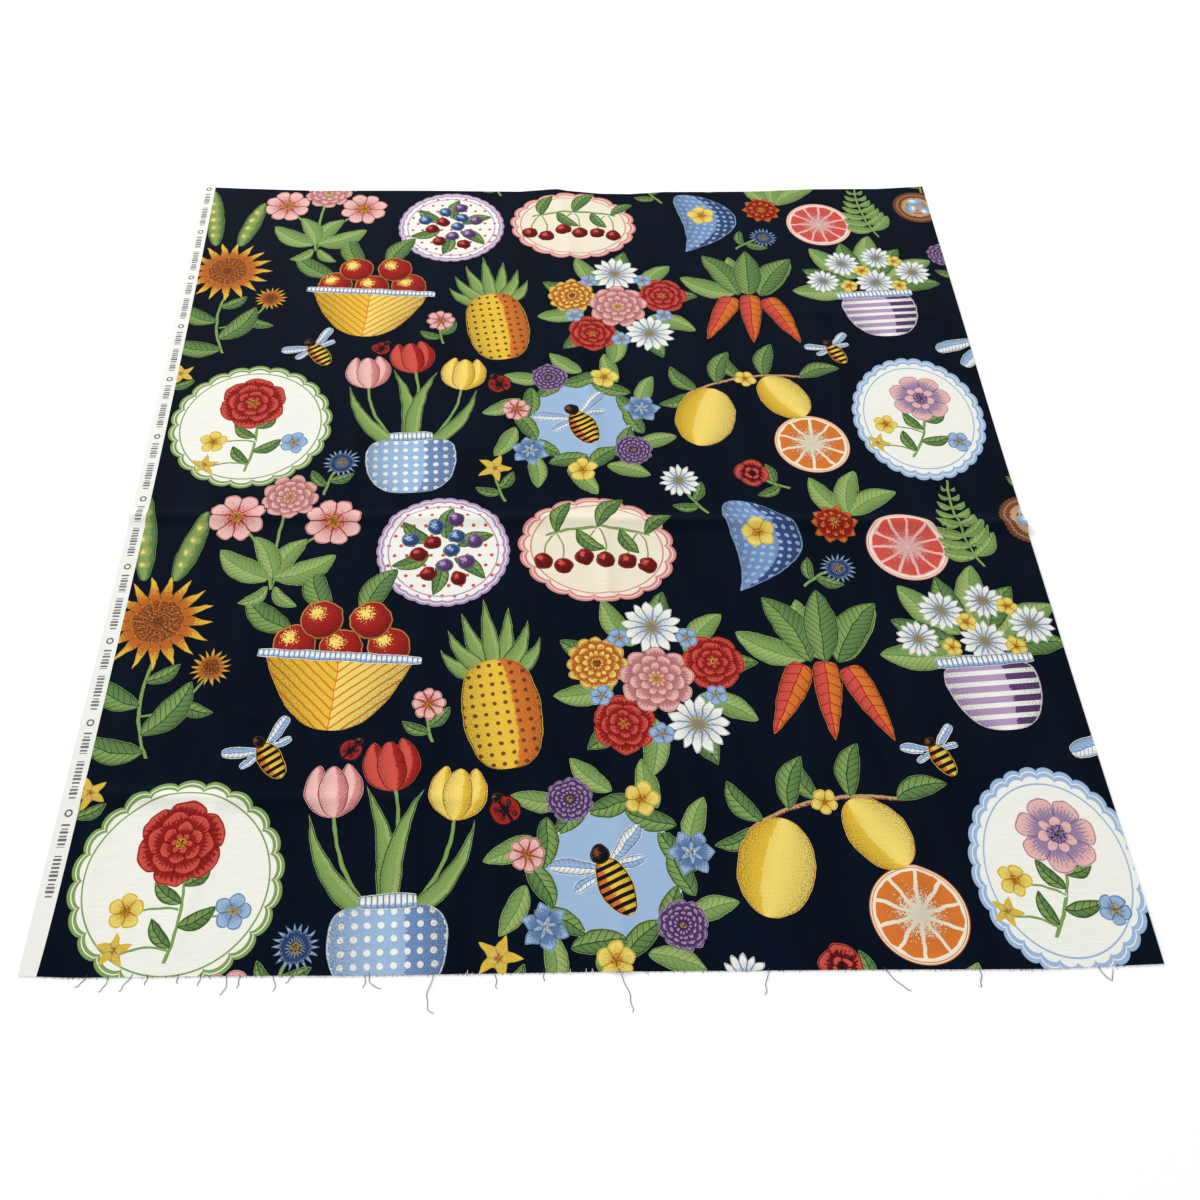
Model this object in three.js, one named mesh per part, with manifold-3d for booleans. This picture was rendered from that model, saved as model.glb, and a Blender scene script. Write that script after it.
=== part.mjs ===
// A cut length of printed cotton, unfolded and laid flat on a table.
//
// The cloth is modelled as a wall of its own: an underside and a face that rise and fall together.
// U runs along the near cut edge, from the selvedge on the left. V runs away from the viewer, along
// the selvedge. Z is up, and the table is at Z = 0. Every size is in millimetres.

import * as THREE from 'three';
import { mergeVertices } from 'three/addons/utils/BufferGeometryUtils.js';
import Module from 'manifold-3d';

// The cut
const nearWidth = 560;
const farWidth = 582.5;
const selvedgeLength = 616;
const cutLength = 610.6;

// The cloth and its woven edge
const wall = 1;
const seam = 0.3;
const selvedgeWidth = 10.5;
const selvedgeBow = 3.2;
const rightBow = 1.6;

// The loose threads of the near edge
const frayWidth = 3;
const threadSize = 0.8;
const threadHeight = 0.55;
const threadRoot = 1.5;
const threadSteps = 7;

// How finely a plain stretch and a fold are divided
const plainStep = 36;
const foldLines = [-1, -0.4, 0, 0.4, 1];

// Where scissors left the near and far edges: V at a distance U from the selvedge
const nearCut = [
  { u: 0, v: -0.3 },
  { u: 25, v: -1.5 },
  { u: 120, v: -1.6 },
  { u: 165, v: -2.1 },
  { u: 290, v: -1.6 },
  { u: 430, v: -2.2 },
  { u: 500, v: -2.8 },
  { u: nearWidth, v: -1 },
];
const farCut = [
  { u: 0, v: selvedgeLength },
  { u: 30, v: 614 },
  { u: 95, v: 610.3 },
  { u: 200, v: 609 },
  { u: 257, v: 607.2 },
  { u: 281, v: 609.6 },
  { u: 322, v: 603 },
  { u: 345, v: 602.5 },
  { u: 373, v: 605.2 },
  { u: 450, v: 605.2 },
  { u: 490, v: 607.2 },
  { u: 545, v: 607.5 },
  { u: farWidth, v: cutLength },
];

// Folds pressed into the cloth while it was stored. Each runs along U or V from its start to its
// end. Meanwhile its crest goes from one place to the other, with a sway to the side. The crest
// rises by the first, mid and last height on its way, and fades to nothing at its reach beside it.
const foldsAcross = [
  { start: 0, end: 570, from: 281, to: 267.5, sway: 0.5, first: 2.0, mid: 2.6, last: 3.4, reach: 13 },
  { start: 0, end: 330, from: 94.5, to: 91, sway: -4, first: 2.4, mid: 1.6, last: 0, reach: 11 },
];
const foldsAlong = [
  { start: -4, end: 614, from: 294.5, to: 287, sway: 11, first: 2.8, mid: 1.4, last: 1.0, reach: 13 },
  { start: 0, end: 170, from: 71, to: 79, sway: 8, first: 0.6, mid: 2.2, last: 0, reach: 12 },
  { start: 10, end: 100, from: 446, to: 449, sway: 0, first: 0, mid: 2.6, last: 0, reach: 10 },
];

// The loose threads, from left to right. Each leaves the edge at U = root and reaches out from it.
// It drifts and bows sideways, and a return of 1 brings its tip back to the edge as a loop.
const threads = [
  { root: 34, reach: 4.0, drift: -5.5, bow: 0.4, return: 0 },
  { root: 44, reach: 6.4, drift: -3.6, bow: 0.8, return: 0 },
  { root: 56, reach: 6.2, drift: -5.7, bow: -0.9, return: 0 },
  { root: 63, reach: 3.4, drift: -0.9, bow: 0.3, return: 0 },
  { root: 78, reach: 3.0, drift: 0.6, bow: -0.3, return: 0 },
  { root: 89, reach: 4.0, drift: -1.4, bow: 0.5, return: 0 },
  { root: 102, reach: 8.4, drift: -2.7, bow: 0.9, return: 0 },
  { root: 109, reach: 5.4, drift: -1.7, bow: -0.6, return: 0 },
  { root: 124, reach: 7.0, drift: 0.8, bow: 1.1, return: 0 },
  { root: 134, reach: 3.0, drift: -3.6, bow: 0.4, return: 0 },
  { root: 171, reach: 5.8, drift: 6.1, bow: -1.6, return: 0 },
  { root: 169, reach: 5.4, drift: -0.8, bow: 0.4, return: 0 },
  { root: 203, reach: 17.6, drift: 0, bow: -3.6, return: 0 },
  { root: 232, reach: 7.0, drift: 1.0, bow: 0.4, return: 0 },
  { root: 256, reach: 3.6, drift: 0, bow: 0.3, return: 0 },
  { root: 293, reach: 18.6, drift: 4.9, bow: 2.2, return: 0 },
  { root: 366, reach: 11.0, drift: -3.5, bow: -0.6, return: 0 },
  { root: 422, reach: 9.6, drift: 11.5, bow: 0.9, return: 0 },
  { root: 469, reach: 8.0, drift: -2.1, bow: 0.7, return: 0 },
  { root: 527, reach: 6.2, drift: 7.3, bow: 0.6, return: 0.82 },
];

const clamp = (x) => Math.min(1, Math.max(0, x));
const mix = (a, b, t) => a + (b - a) * t;

// The V of a cut at U, on straight runs between the rows of its table
function cutAt(cut, u) {
  const next = cut.findIndex((row) => row.u >= u);
  const last = next < 0 ? cut.length - 1 : Math.max(1, next);
  const a = cut[last - 1];
  const b = cut[last];
  return mix(a.v, b.v, (u - a.u) / (b.u - a.u));
}

const nearEdge = (u) => cutAt(nearCut, u);
const farEdge = (u) => cutAt(farCut, u);
const alongCut = (v) => clamp(v / selvedgeLength);
const leftEdge = (v) => selvedgeBow * Math.sin(Math.PI * alongCut(v));
const rightEdge = (v) => mix(nearWidth, farWidth, alongCut(v)) - rightBow * Math.sin(Math.PI * alongCut(v));

// Where a fold's crest lies, at a distance along it
function crestOf(fold, along) {
  const t = (along - fold.start) / (fold.end - fold.start);
  return mix(fold.from, fold.to, t) + fold.sway * 4 * t * (1 - t);
}

// How far a fold lifts a point that lies beside it
function liftOf(fold, along, beside) {
  const t = (along - fold.start) / (fold.end - fold.start);
  if (t < 0 || t > 1) {
    return 0;
  }
  const height = t < 0.5 ? mix(fold.first, fold.mid, 2 * t) : mix(fold.mid, fold.last, 2 * t - 1);
  const slope = 1 - clamp(Math.abs(beside - crestOf(fold, along)) / fold.reach);
  return height * slope * slope;
}

// How far the cloth stands off the table: the highest of the folds that cross a point
function lift(u, v) {
  const across = foldsAcross.map((fold) => liftOf(fold, u, v));
  const along = foldsAlong.map((fold) => liftOf(fold, v, u));
  return Math.max(0, ...across, ...along);
}

// Grid lines over a length: plain steps, with the lines of each fold in place of those that meet it
function gridLines(length, folds) {
  const count = Math.round(length / plainStep);
  const plain = Array.from({ length: count + 1 }, (_, i) => (length * i) / count);
  const middleOf = (fold) => crestOf(fold, (fold.start + fold.end) / 2);
  const middles = folds.map((fold) => ({ at: middleOf(fold), reach: fold.reach }));
  const isClear = (line) => middles.every(({ at, reach }) => Math.abs(line - at) > 1.6 * reach);
  const kept = plain.filter((line, i) => i === 0 || i === count || isClear(line));
  const close = middles.flatMap(({ at, reach }) => foldLines.map((k) => at + k * reach));
  return [...kept, ...close].sort((a, b) => a - b).map((line) => line / length);
}

// Pulls a grid line that lies near a fold onto the fold's own path
function bend(line, middle, straight, crest) {
  const nearness = Math.exp(-(((line - middle) / 0.1) ** 2));
  return nearness * (crest - straight);
}

// The point of the whole cloth at a share s of its width and t of its length
function clothPoint(s, t) {
  const roughV = t * selvedgeLength;
  const [middleAcross] = foldsAcross;
  const [middleAlong] = foldsAlong;
  const foldS = crestOf(middleAlong, roughV) / nearWidth;
  const midS = crestOf(middleAlong, selvedgeLength / 2) / nearWidth;
  const uAt = (share) => mix(leftEdge(roughV), rightEdge(roughV), share);
  const u = uAt(s) + bend(s, midS, uAt(midS), foldS * nearWidth);
  const vAt = (share) => mix(nearEdge(u), farEdge(u), share);
  const midT = crestOf(middleAcross, nearWidth / 2) / selvedgeLength;
  const v = vAt(t) + bend(t, midT, vAt(midT), crestOf(middleAcross, u));
  return { u, v };
}

// A closed wall over a grid of points, lifted by the folds
function clothWall(grid) {
  const columns = grid[0].length;
  const positions = [];
  for (const base of [0, wall]) {
    for (const { u, v } of grid.flat()) {
      positions.push(u, v, lift(u, v) + base);
    }
  }
  const upper = grid.length * columns;
  const at = (row, column) => row * columns + column;
  const faces = [];
  const quad = (a, b, c, d) => faces.push(a, b, c, a, c, d);
  const side = (a, b) => quad(a, b, upper + b, upper + a);
  for (let row = 0; row + 1 < grid.length; row += 1) {
    for (let column = 0; column + 1 < columns; column += 1) {
      const [a, b] = [at(row, column), at(row, column + 1)];
      const [d, c] = [at(row + 1, column), at(row + 1, column + 1)];
      quad(a, d, c, b);
      quad(upper + a, upper + b, upper + c, upper + d);
    }
    side(at(row + 1, 0), at(row, 0));
    side(at(row, columns - 1), at(row + 1, columns - 1));
  }
  for (let column = 0; column + 1 < columns; column += 1) {
    side(at(0, column), at(0, column + 1));
    side(at(grid.length - 1, column + 1), at(grid.length - 1, column));
  }
  const geometry = new THREE.BufferGeometry();
  geometry.setAttribute('position', new THREE.Float32BufferAttribute(positions, 3));
  geometry.setIndex(faces);
  return geometry;
}

// A four-sided loose thread that droops from the cloth's edge to the table and lies on it
function threadSolid(thread) {
  const half = threadSize / 2;
  const turn = (Math.PI / 2) * (1 + thread.return);
  const rootV = nearEdge(thread.root);
  const rootLift = lift(thread.root, rootV);
  const spine = (t) => {
    const u = thread.root + thread.drift * t + thread.bow * Math.sin(Math.PI * t);
    const out = (thread.reach + threadRoot) * Math.sin(turn * t) - threadRoot;
    return { u, v: rootV - out, z: threadHeight + rootLift * (1 - t) ** 2 };
  };
  const positions = [];
  for (let i = 0; i <= threadSteps; i += 1) {
    const t = i / threadSteps;
    const { u, v, z } = spine(t);
    const before = spine(Math.max(0, t - 0.01));
    const after = spine(Math.min(1, t + 0.01));
    const heading = new THREE.Vector2(after.u - before.u, after.v - before.v).normalize();
    const aside = { u: -heading.y * half, v: heading.x * half };
    positions.push(u + aside.u, v + aside.v, z);
    positions.push(u, v, z - half);
    positions.push(u - aside.u, v - aside.v, z);
    positions.push(u, v, z + half);
  }
  const faces = [0, 1, 2, 0, 2, 3];
  for (let i = 0; i < threadSteps; i += 1) {
    for (let k = 0; k < 4; k += 1) {
      const a = 4 * i + k;
      const b = 4 * i + ((k + 1) % 4);
      faces.push(a, b + 4, b, a, a + 4, b + 4);
    }
  }
  const end = 4 * threadSteps;
  faces.push(end, end + 2, end + 1, end, end + 3, end + 2);
  const geometry = new THREE.BufferGeometry();
  geometry.setAttribute('position', new THREE.Float32BufferAttribute(positions, 3));
  geometry.setIndex(faces);
  return geometry;
}

const wasm = await Module();
wasm.setup();

function toSolid(geometry) {
  const merged = mergeVertices(geometry);
  return new wasm.Manifold(new wasm.Mesh({
    numProp: 3,
    vertProperties: new Float32Array(merged.attributes.position.array),
    triVerts: new Uint32Array(merged.index.array),
  }));
}

function toGeometry(solid) {
  const mesh = solid.getMesh();
  const geometry = new THREE.BufferGeometry();
  geometry.setAttribute('position', new THREE.BufferAttribute(mesh.vertProperties, 3));
  geometry.setIndex(new THREE.BufferAttribute(mesh.triVerts, 1));
  return geometry;
}

const columnLines = gridLines(nearWidth, foldsAlong);
const rowLines = gridLines(selvedgeLength, foldsAcross);

// The printed ground, right of the selvedge and behind the frayed strip
function printedCloth() {
  const innerShare = (selvedgeWidth + seam) / nearWidth;
  const frontShare = (frayWidth + seam) / selvedgeLength;
  const columns = [innerShare, ...columnLines.filter((s) => s > 2 * innerShare)];
  const rows = [frontShare, ...rowLines.filter((t) => t > 2 * frontShare)];
  return clothWall(rows.map((t) => columns.map((s) => {
    const point = clothPoint(s, t);
    const u = s === innerShare ? leftEdge(point.v) + selvedgeWidth + seam : point.u;
    const v = t === frontShare ? nearEdge(point.u) + frayWidth + seam : point.v;
    return { u, v };
  })));
}

// The unprinted woven edge along the left side
function selvedgeBand() {
  const shares = [0, 0.5, 1];
  return clothWall(rowLines.map((t) => shares.map((share) => {
    const { v } = clothPoint(0, t);
    return { u: leftEdge(v) + share * selvedgeWidth, v };
  })));
}

// The strip that the loose threads leave, with the threads fused to it at their roots
function frayedEdge() {
  const columns = [(selvedgeWidth + seam) / nearWidth, ...columnLines.filter((s) => s > 0.04)];
  const strip = clothWall([0, frayWidth].map((width) => columns.map((s) => {
    const { u } = clothPoint(s, 0);
    return { u, v: nearEdge(u) + width };
  })));
  const joined = threads.map(threadSolid).map(toSolid);
  return toGeometry(joined.reduce((whole, thread) => whole.add(thread), toSolid(strip)));
}

const printedCotton = new THREE.MeshStandardMaterial({ color: '#141d2b', roughness: 0.9, metalness: 0 });
const whiteCotton = new THREE.MeshStandardMaterial({ color: '#eff1ea', roughness: 0.92, metalness: 0 });
const looseThread = new THREE.MeshStandardMaterial({ color: '#2a3038', roughness: 0.95, metalness: 0 });

const group = new THREE.Group();

function addPiece(name, geometry, material) {
  const mesh = new THREE.Mesh(geometry, material);
  mesh.name = name;
  group.add(mesh);
}

addPiece('printed_cloth', printedCloth(), printedCotton);
addPiece('selvedge_band', selvedgeBand(), whiteCotton);
addPiece('frayed_edge', frayedEdge(), looseThread);

// The origin is under the middle of the cloth's extent, with the tips of its threads
const middle = new THREE.Box3().setFromObject(group).getCenter(new THREE.Vector3());
group.position.set(-middle.x, -middle.y, 0);

export default group;
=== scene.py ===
# %% [markdown]
# A remnant is a short end of cloth left over from a bolt. This one is a printed cotton with a dark
# navy ground. It has been stored folded in four, and now it lies opened out on a pale table. The
# lesson dresses a plain engineering model of it: three solids that already have the right size and
# place. Loading them first gives every later step its frame, in metres, with Z up.

import bpy
import numpy as np
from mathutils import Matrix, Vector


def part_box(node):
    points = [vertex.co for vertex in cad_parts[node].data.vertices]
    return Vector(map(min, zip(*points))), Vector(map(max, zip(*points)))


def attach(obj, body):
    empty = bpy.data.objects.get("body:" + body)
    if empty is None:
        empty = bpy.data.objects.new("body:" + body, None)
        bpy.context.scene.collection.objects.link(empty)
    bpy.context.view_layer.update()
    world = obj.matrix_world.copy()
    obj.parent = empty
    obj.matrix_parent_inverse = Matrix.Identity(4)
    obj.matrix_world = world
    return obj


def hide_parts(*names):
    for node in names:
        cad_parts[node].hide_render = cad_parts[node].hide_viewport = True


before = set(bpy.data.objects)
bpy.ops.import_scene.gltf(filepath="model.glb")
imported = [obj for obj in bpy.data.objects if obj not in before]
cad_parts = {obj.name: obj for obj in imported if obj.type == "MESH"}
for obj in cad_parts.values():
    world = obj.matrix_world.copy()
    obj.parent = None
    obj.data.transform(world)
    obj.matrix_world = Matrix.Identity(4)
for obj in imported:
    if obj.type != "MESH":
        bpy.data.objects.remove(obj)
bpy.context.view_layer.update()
print("solids:", sorted(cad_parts))

# %% [markdown]
# Cloth sizes are easier to read in millimetres, so the whole lesson works on a flat map of the cloth.
# U runs along the near cut edge from the selvedge, and V runs away from the viewer along the
# selvedge. Only the last step of each piece turns U, V and height into metres in the frame. The
# selvedge solid begins at U = 0 and ends at the far end of V, so its box says where the map lies.

# %% The map of the cloth
mm = 0.001
NEAR_WIDTH = 560.0
FAR_WIDTH = 582.5
SELVEDGE_LENGTH = 616.0
SELVEDGE_WIDTH = 10.5
SELVEDGE_BOW = 3.2
RIGHT_BOW = 1.6
SHELL = 0.4

selvedge_low, selvedge_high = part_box("selvedge_band")
MAP_CORNER = np.array([selvedge_low[0], selvedge_high[1] - SELVEDGE_LENGTH * mm, 0.0])


def to_frame(u, v, z):
    """Metres in the frame = the map's corner + millimetres on the map x 0.001."""
    return np.stack([u, v, z], axis=-1).reshape(-1, 3) * mm + MAP_CORNER


def to_map(points):
    """The reverse of to_frame, for U and V alone."""
    return (points[:, :2] - MAP_CORNER[:2]) / mm


print("map corner in the frame, metres:", np.round(MAP_CORNER, 4).tolist())

# %% [markdown]
# The photograph looks down at the cloth at 57 degrees. Its converging edges fix the lens and the
# height of the camera, and the shift keeps the cloth where the picture has it, a little left of the
# lens's axis. The camera comes first, because everything after it is judged through it.

# %% Camera
CAMERA_PLACE = (235.3, -124.1, 523.8)
CAMERA_PITCH = 57.04
CAMERA_YAW = 0.656
FOCAL_PIXELS = 1038.0
FRAME_PIXELS = 1200.0
SENSOR = 36.0
AXIS_PIXEL = 504.0
NEAREST_SEEN = 0.01

lens = bpy.data.cameras.new("camera")
lens.sensor_width = SENSOR
lens.lens = SENSOR * FOCAL_PIXELS / FRAME_PIXELS
lens.shift_x = 0.5 - AXIS_PIXEL / FRAME_PIXELS
lens.clip_start = NEAREST_SEEN
camera = bpy.data.objects.new("camera", lens)
camera.location = to_frame(*np.array(CAMERA_PLACE))[0]
camera.rotation_euler = np.radians([90 - CAMERA_PITCH, 0, -CAMERA_YAW])
bpy.context.scene.collection.objects.link(camera)
bpy.context.scene.camera = camera
print("lens in mm:", round(lens.lens, 2), "shift:", round(lens.shift_x, 3))

# %% [markdown]
# A cut-out on white has no shadow to speak of, so the light is nearly even: a pale sky from all
# round, and one large soft lamp beyond the far left corner. That lamp grazes the cloth, and gives
# the fold lines their light and dark sides and the navy its faint sheen towards the far edge.

# %% Sky, lamp and floor
SKY_STRENGTH = 0.87
LAMP_POWER = 34.0
LAMP_SIZE = 0.8
LAMP_PLACE = (-1.15, 1.8, 1.1)
FLOOR_SIZE = 12.0

world = bpy.data.worlds.new("studio")
world.use_nodes = True
sky = world.node_tree.nodes["Background"].inputs
sky["Color"].default_value = (1, 1, 1, 1)
sky["Strength"].default_value = SKY_STRENGTH
bpy.context.scene.world = world

lamp_data = bpy.data.lights.new("far_lamp", "AREA")
lamp_data.energy = LAMP_POWER
lamp_data.size = LAMP_SIZE
lamp = bpy.data.objects.new("far_lamp", lamp_data)
lamp.location = LAMP_PLACE
aim = -np.array(LAMP_PLACE)
tilt = np.arctan2(np.hypot(aim[0], aim[1]), -aim[2])
lamp.rotation_euler = (tilt, 0, np.arctan2(-aim[0], aim[1]))
bpy.context.scene.collection.objects.link(lamp)
bpy.context.scene.view_settings.view_transform = "Standard"

floor_mesh = bpy.data.meshes.new("floor")
corners = FLOOR_SIZE / 2 * np.array([[-1, -1, 0], [1, -1, 0], [1, 1, 0], [-1, 1, 0]])
floor_mesh.from_pydata(corners.tolist(), [], [(0, 1, 2, 3)])
floor = bpy.data.objects.new("floor", floor_mesh)
bpy.context.scene.collection.objects.link(floor)
print("lamp and floor ready")

# %% [markdown]
# The outline is not a rectangle. Scissors left the near and far edges slightly wavy, the right edge
# leans out, and the selvedge bows in by 3 mm. Short tables hold the cuts, and the sides are
# formulas, so the same four curves bound every piece.

# %% The outline of the cut
NEAR_CUT = np.array(
    [[0, -0.3], [25, -1.5], [120, -1.6], [165, -2.1], [290, -1.6], [430, -2.2], [500, -2.8],
     [NEAR_WIDTH, -1]]
)
FAR_CUT = np.array(
    [[0, SELVEDGE_LENGTH], [30, 614], [95, 610.3], [200, 609], [257, 607.2], [281, 609.6],
     [322, 603], [345, 602.5], [373, 605.2], [450, 605.2], [490, 607.2], [545, 607.5],
     [FAR_WIDTH, 610.6]]
)


def near_edge(u):
    """V of the near cut: straight runs between the rows of its table."""
    return np.interp(u, NEAR_CUT[:, 0], NEAR_CUT[:, 1])


def far_edge(u):
    """V of the far cut: straight runs between the rows of its table."""
    return np.interp(u, FAR_CUT[:, 0], FAR_CUT[:, 1])


def left_edge(v):
    """U of the selvedge: half a sine wave of the bow's depth."""
    return SELVEDGE_BOW * np.sin(np.pi * np.clip(v / SELVEDGE_LENGTH, 0, 1))


def right_edge(v):
    """U of the right side: a straight line from near width to far width, less half a sine wave."""
    share = np.clip(v / SELVEDGE_LENGTH, 0, 1)
    return NEAR_WIDTH + (FAR_WIDTH - NEAR_WIDTH) * share - RIGHT_BOW * np.sin(np.pi * share)


# %% [markdown]
# Cloth that was folded in four keeps soft ridges where the folds were: one right across, one down
# the middle, and weaker ones where it was folded again. Each is listed with its own place, length,
# sway and height. A ridge is highest on its crest and falls away with the square of the distance. A
# small radius rounds the crest, because cotton never keeps a knife edge.

# %% The pressed-in folds
# start and end along the fold, place of its crest there, sway, three heights, reach to each side
FOLDS_ACROSS = [
    (0, 570, 281, 267.5, 0.5, 2.0, 2.6, 3.2, 9),
    (0, 330, 94.5, 91, -4, 2.7, 2.0, 0.0, 9),
    (70, 125, 139, 139, 1, 0.0, 0.8, 0.0, 7),
    (380, 575, 462, 455, 3, 0.0, 0.9, 0.5, 9),
]
FOLDS_ALONG = [
    (-4, 614, 294.5, 287, 11, 1.0, 1.9, 0.8, 9),
    (0, 170, 71, 79, 8, 0.6, 2.2, 0.0, 9),
    (10, 100, 446, 449, 0, 0.0, 3.0, 0.0, 10),
    (15, 95, 27, 22, 0, 0.4, 1.3, 0.0, 9),
    (50, 95, 202, 203, 0, 0.0, 1.2, 0.0, 9),
    (5, 62, 145, 142, 0, 0.0, 0.8, 0.0, 9),
    (12, 60, 334, 338, 0, 0.0, 0.9, 0.0, 9),
    (300, 372, 143, 140, 1, 0.0, 1.3, 0.0, 10),
    (430, 600, 150, 146, 2, 0.0, 0.7, 0.4, 11),
]
CREST_RADIUS = 1.2
FADING_SHARE = 1 / 8
BLEND_POWER = 3.0
# across and along length in mm, and start, of the three waves of the ripple
WAVES = ((43, 91, 0.7), (-119, 57, 0.0), (71, -37, 0.0))
WAVE_HEIGHT = 0.17
CURL_HEIGHT = 0.15
CURL_REACH = 9.0
CURL_LENGTH = 27.0
CURL_START = 2.0
CALM_SHARE = 0.7
CALM_REACH = 16.0


def ridge(fold, along, beside):
    """Height x (1 - distance / reach) squared, the height on straight runs through three values.

    A fold that dies out within the cloth also fades over the last eighth at either end."""
    start, end, first_place, last_place, sway, first, middle, last, reach = fold
    t = (along - start) / (end - start)
    crest = first_place + (last_place - first_place) * t + sway * 4 * t * (1 - t)
    height = np.interp(t, [0, 0.5, 1], [first, middle, last], left=0, right=0)
    fade = np.clip(np.minimum(t, 1 - t) / FADING_SHARE, 0, 1) if min(first, last) == 0 else 1.0
    away = np.hypot(beside - crest, CREST_RADIUS) - CREST_RADIUS
    return height * fade * np.clip(1 - away / reach, 0, 1) ** 2


def bell(distance, reach):
    """e to the power of minus (distance / reach) squared."""
    return np.exp(-((distance / reach) ** 2))


def ripple(u, v):
    """Height x (2 + first wave x second + third), plus a curl at the far cut, calmed at the near."""
    first, second, third = (np.sin(u / across + v / along + start) for across, along, start in WAVES)
    curl = bell(far_edge(u) - v, CURL_REACH) * (1 + np.sin(u / CURL_LENGTH + CURL_START))
    calm = 1 - CALM_SHARE * bell(v - near_edge(u), CALM_REACH)
    return (WAVE_HEIGHT * (2 + first * second + third) + CURL_HEIGHT * curl) * calm


def lift(u, v):
    """Height of the underside over the table: a soft maximum of the ridges, plus the ripple."""
    ridges = [ridge(fold, u, v) for fold in FOLDS_ACROSS] + [ridge(fold, v, u) for fold in FOLDS_ALONG]
    return sum(r**BLEND_POWER for r in ridges) ** (1 / BLEND_POWER) + ripple(u, v)


print("folds:", len(FOLDS_ACROSS), "across and", len(FOLDS_ALONG), "along")

# %% [markdown]
# Each stretch of cloth is a thin closed shell: a fine grid of faces on top, a grid of half that
# fineness underneath, and a narrow wall round the rim. A wall face has five corners, because two
# fine top edges meet one coarse lower edge. All of it is array arithmetic on row and column numbers.

# %% Mesh helpers
SHARP_DEGREES = 50


def make_mesh(name, points, face_groups):
    """A mesh from points and arrays of faces. Points that no face uses are dropped."""
    corner_points = np.concatenate([group.ravel() for group in face_groups])
    used, corner_points = np.unique(corner_points, return_inverse=True)
    sizes = np.concatenate([np.full(len(group), group.shape[1]) for group in face_groups])
    mesh = bpy.data.meshes.new(name)
    mesh.vertices.add(len(used))
    mesh.vertices.foreach_set("co", points[used].ravel())
    mesh.loops.add(len(corner_points))
    mesh.loops.foreach_set("vertex_index", corner_points.ravel())
    mesh.polygons.add(len(sizes))
    mesh.polygons.foreach_set("loop_start", np.cumsum(sizes) - sizes)
    mesh.update(calc_edges=True)
    mesh.polygons.foreach_set("use_smooth", np.full(len(sizes), True))
    mesh.set_sharp_from_angle(angle=np.radians(SHARP_DEGREES))
    piece = bpy.data.objects.new(name, mesh)
    bpy.context.scene.collection.objects.link(piece)
    print(name, "faces:", len(sizes), "triangles:", int((sizes - 2).sum()))
    return piece


def cloth_shell(name, u, v):
    """Top = lift + shell, underside = lift. Even rows and columns alone bear the underside."""
    rows, columns = u.shape
    height = lift(u, v)
    points = np.concatenate([to_frame(u, v, height + SHELL), to_frame(u, v, height)])
    top = np.arange(rows * columns).reshape(rows, columns)
    low = top + rows * columns
    upper = np.stack([top[:-1, :-1], top[:-1, 1:], top[1:, 1:], top[1:, :-1]], -1)
    even = low[::2, ::2]
    under = np.stack([even[:-1, :-1], even[1:, :-1], even[1:, 1:], even[:-1, 1:]], -1)

    def wall(line):
        """Faces over one side, whose numbers run so that the outside is on their right."""
        a, b, c = line[:-1:2], line[1::2], line[2::2]
        return np.stack([a + low[0, 0], c + low[0, 0], c, b, a], -1)

    walls = [wall(top[0]), wall(top[-1, ::-1]), wall(top[::-1, 0]), wall(top[:, -1])]
    return make_mesh(name, points, [upper.reshape(-1, 4), under.reshape(-1, 4), *walls])


# %% [markdown]
# The printed ground takes a grid of about 2 mm, which is fine enough for the ridges and for the
# print that follows. The selvedge takes over exactly where the printed ground stops. The cloth stops
# a hair short of the near cut, because there the last crosswise yarns have dropped out.

# %% The printed ground and the selvedge
COLUMNS = 272
ROWS = 284
FRAY_DEPTH = 0.3
SELVEDGE_COLUMNS = 8
NEAR_TAPER = 1.4
TAPER_REACH = 20.0


def stretch(inner, outer, columns):
    """Points between two curves of U, spread evenly from the near cut to the far cut."""
    share = np.linspace(0, 1, columns + 1)[None, :]
    rough_v = np.linspace(0, SELVEDGE_LENGTH, ROWS + 1)[:, None]
    u = inner(rough_v) + (outer(rough_v) - inner(rough_v)) * share
    near = near_edge(u) + FRAY_DEPTH
    v = near + (far_edge(u) - near) * rough_v / SELVEDGE_LENGTH
    return u, v


def selvedge_inner(v):
    """U where the woven edge ends and the print begins: its width, less a taper at the near end."""
    return left_edge(v) + SELVEDGE_WIDTH - NEAR_TAPER * np.exp(-v / TAPER_REACH)


printed = cloth_shell("printed_ground", *stretch(selvedge_inner, right_edge, COLUMNS))
selvedge = cloth_shell("woven_selvedge", *stretch(left_edge, selvedge_inner, SELVEDGE_COLUMNS))

# %% [markdown]
# A screen-printed cotton is made with one rotary screen for each ink, so its colours are few and
# flat, and its design comes round again every 30 cm or so. The print here is a design of its own: a
# toss of garden flowers, fruit, jars and bees in bright inks on navy. The inks come first. Colours
# are easier to choose as a screen shows them, and Blender reckons in light, so a small function
# turns one into the other.

# %% The inks
INKS = {
    "navy": (4, 14, 28), "soot": (22, 23, 30), "pine": (50, 76, 46), "deep_leaf": (98, 132, 76),
    "leaf": (128, 158, 88), "lime": (156, 180, 106), "deep_red": (108, 26, 28), "red": (164, 38, 34),
    "coral": (206, 82, 70), "pink": (214, 138, 136), "pale_pink": (234, 184, 178),
    "ivory": (240, 240, 230), "cream": (236, 228, 204), "lemon": (238, 212, 108),
    "yellow": (228, 188, 62), "orange": (214, 118, 48), "brown": (116, 70, 46),
    "tan": (192, 152, 112), "sky": (156, 184, 216), "blue": (114, 144, 188),
    "deep_blue": (56, 78, 126), "lilac": (178, 150, 188), "violet": (92, 64, 112),
}
INK_NUMBERS = {name: number for number, name in enumerate(INKS)}


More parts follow.
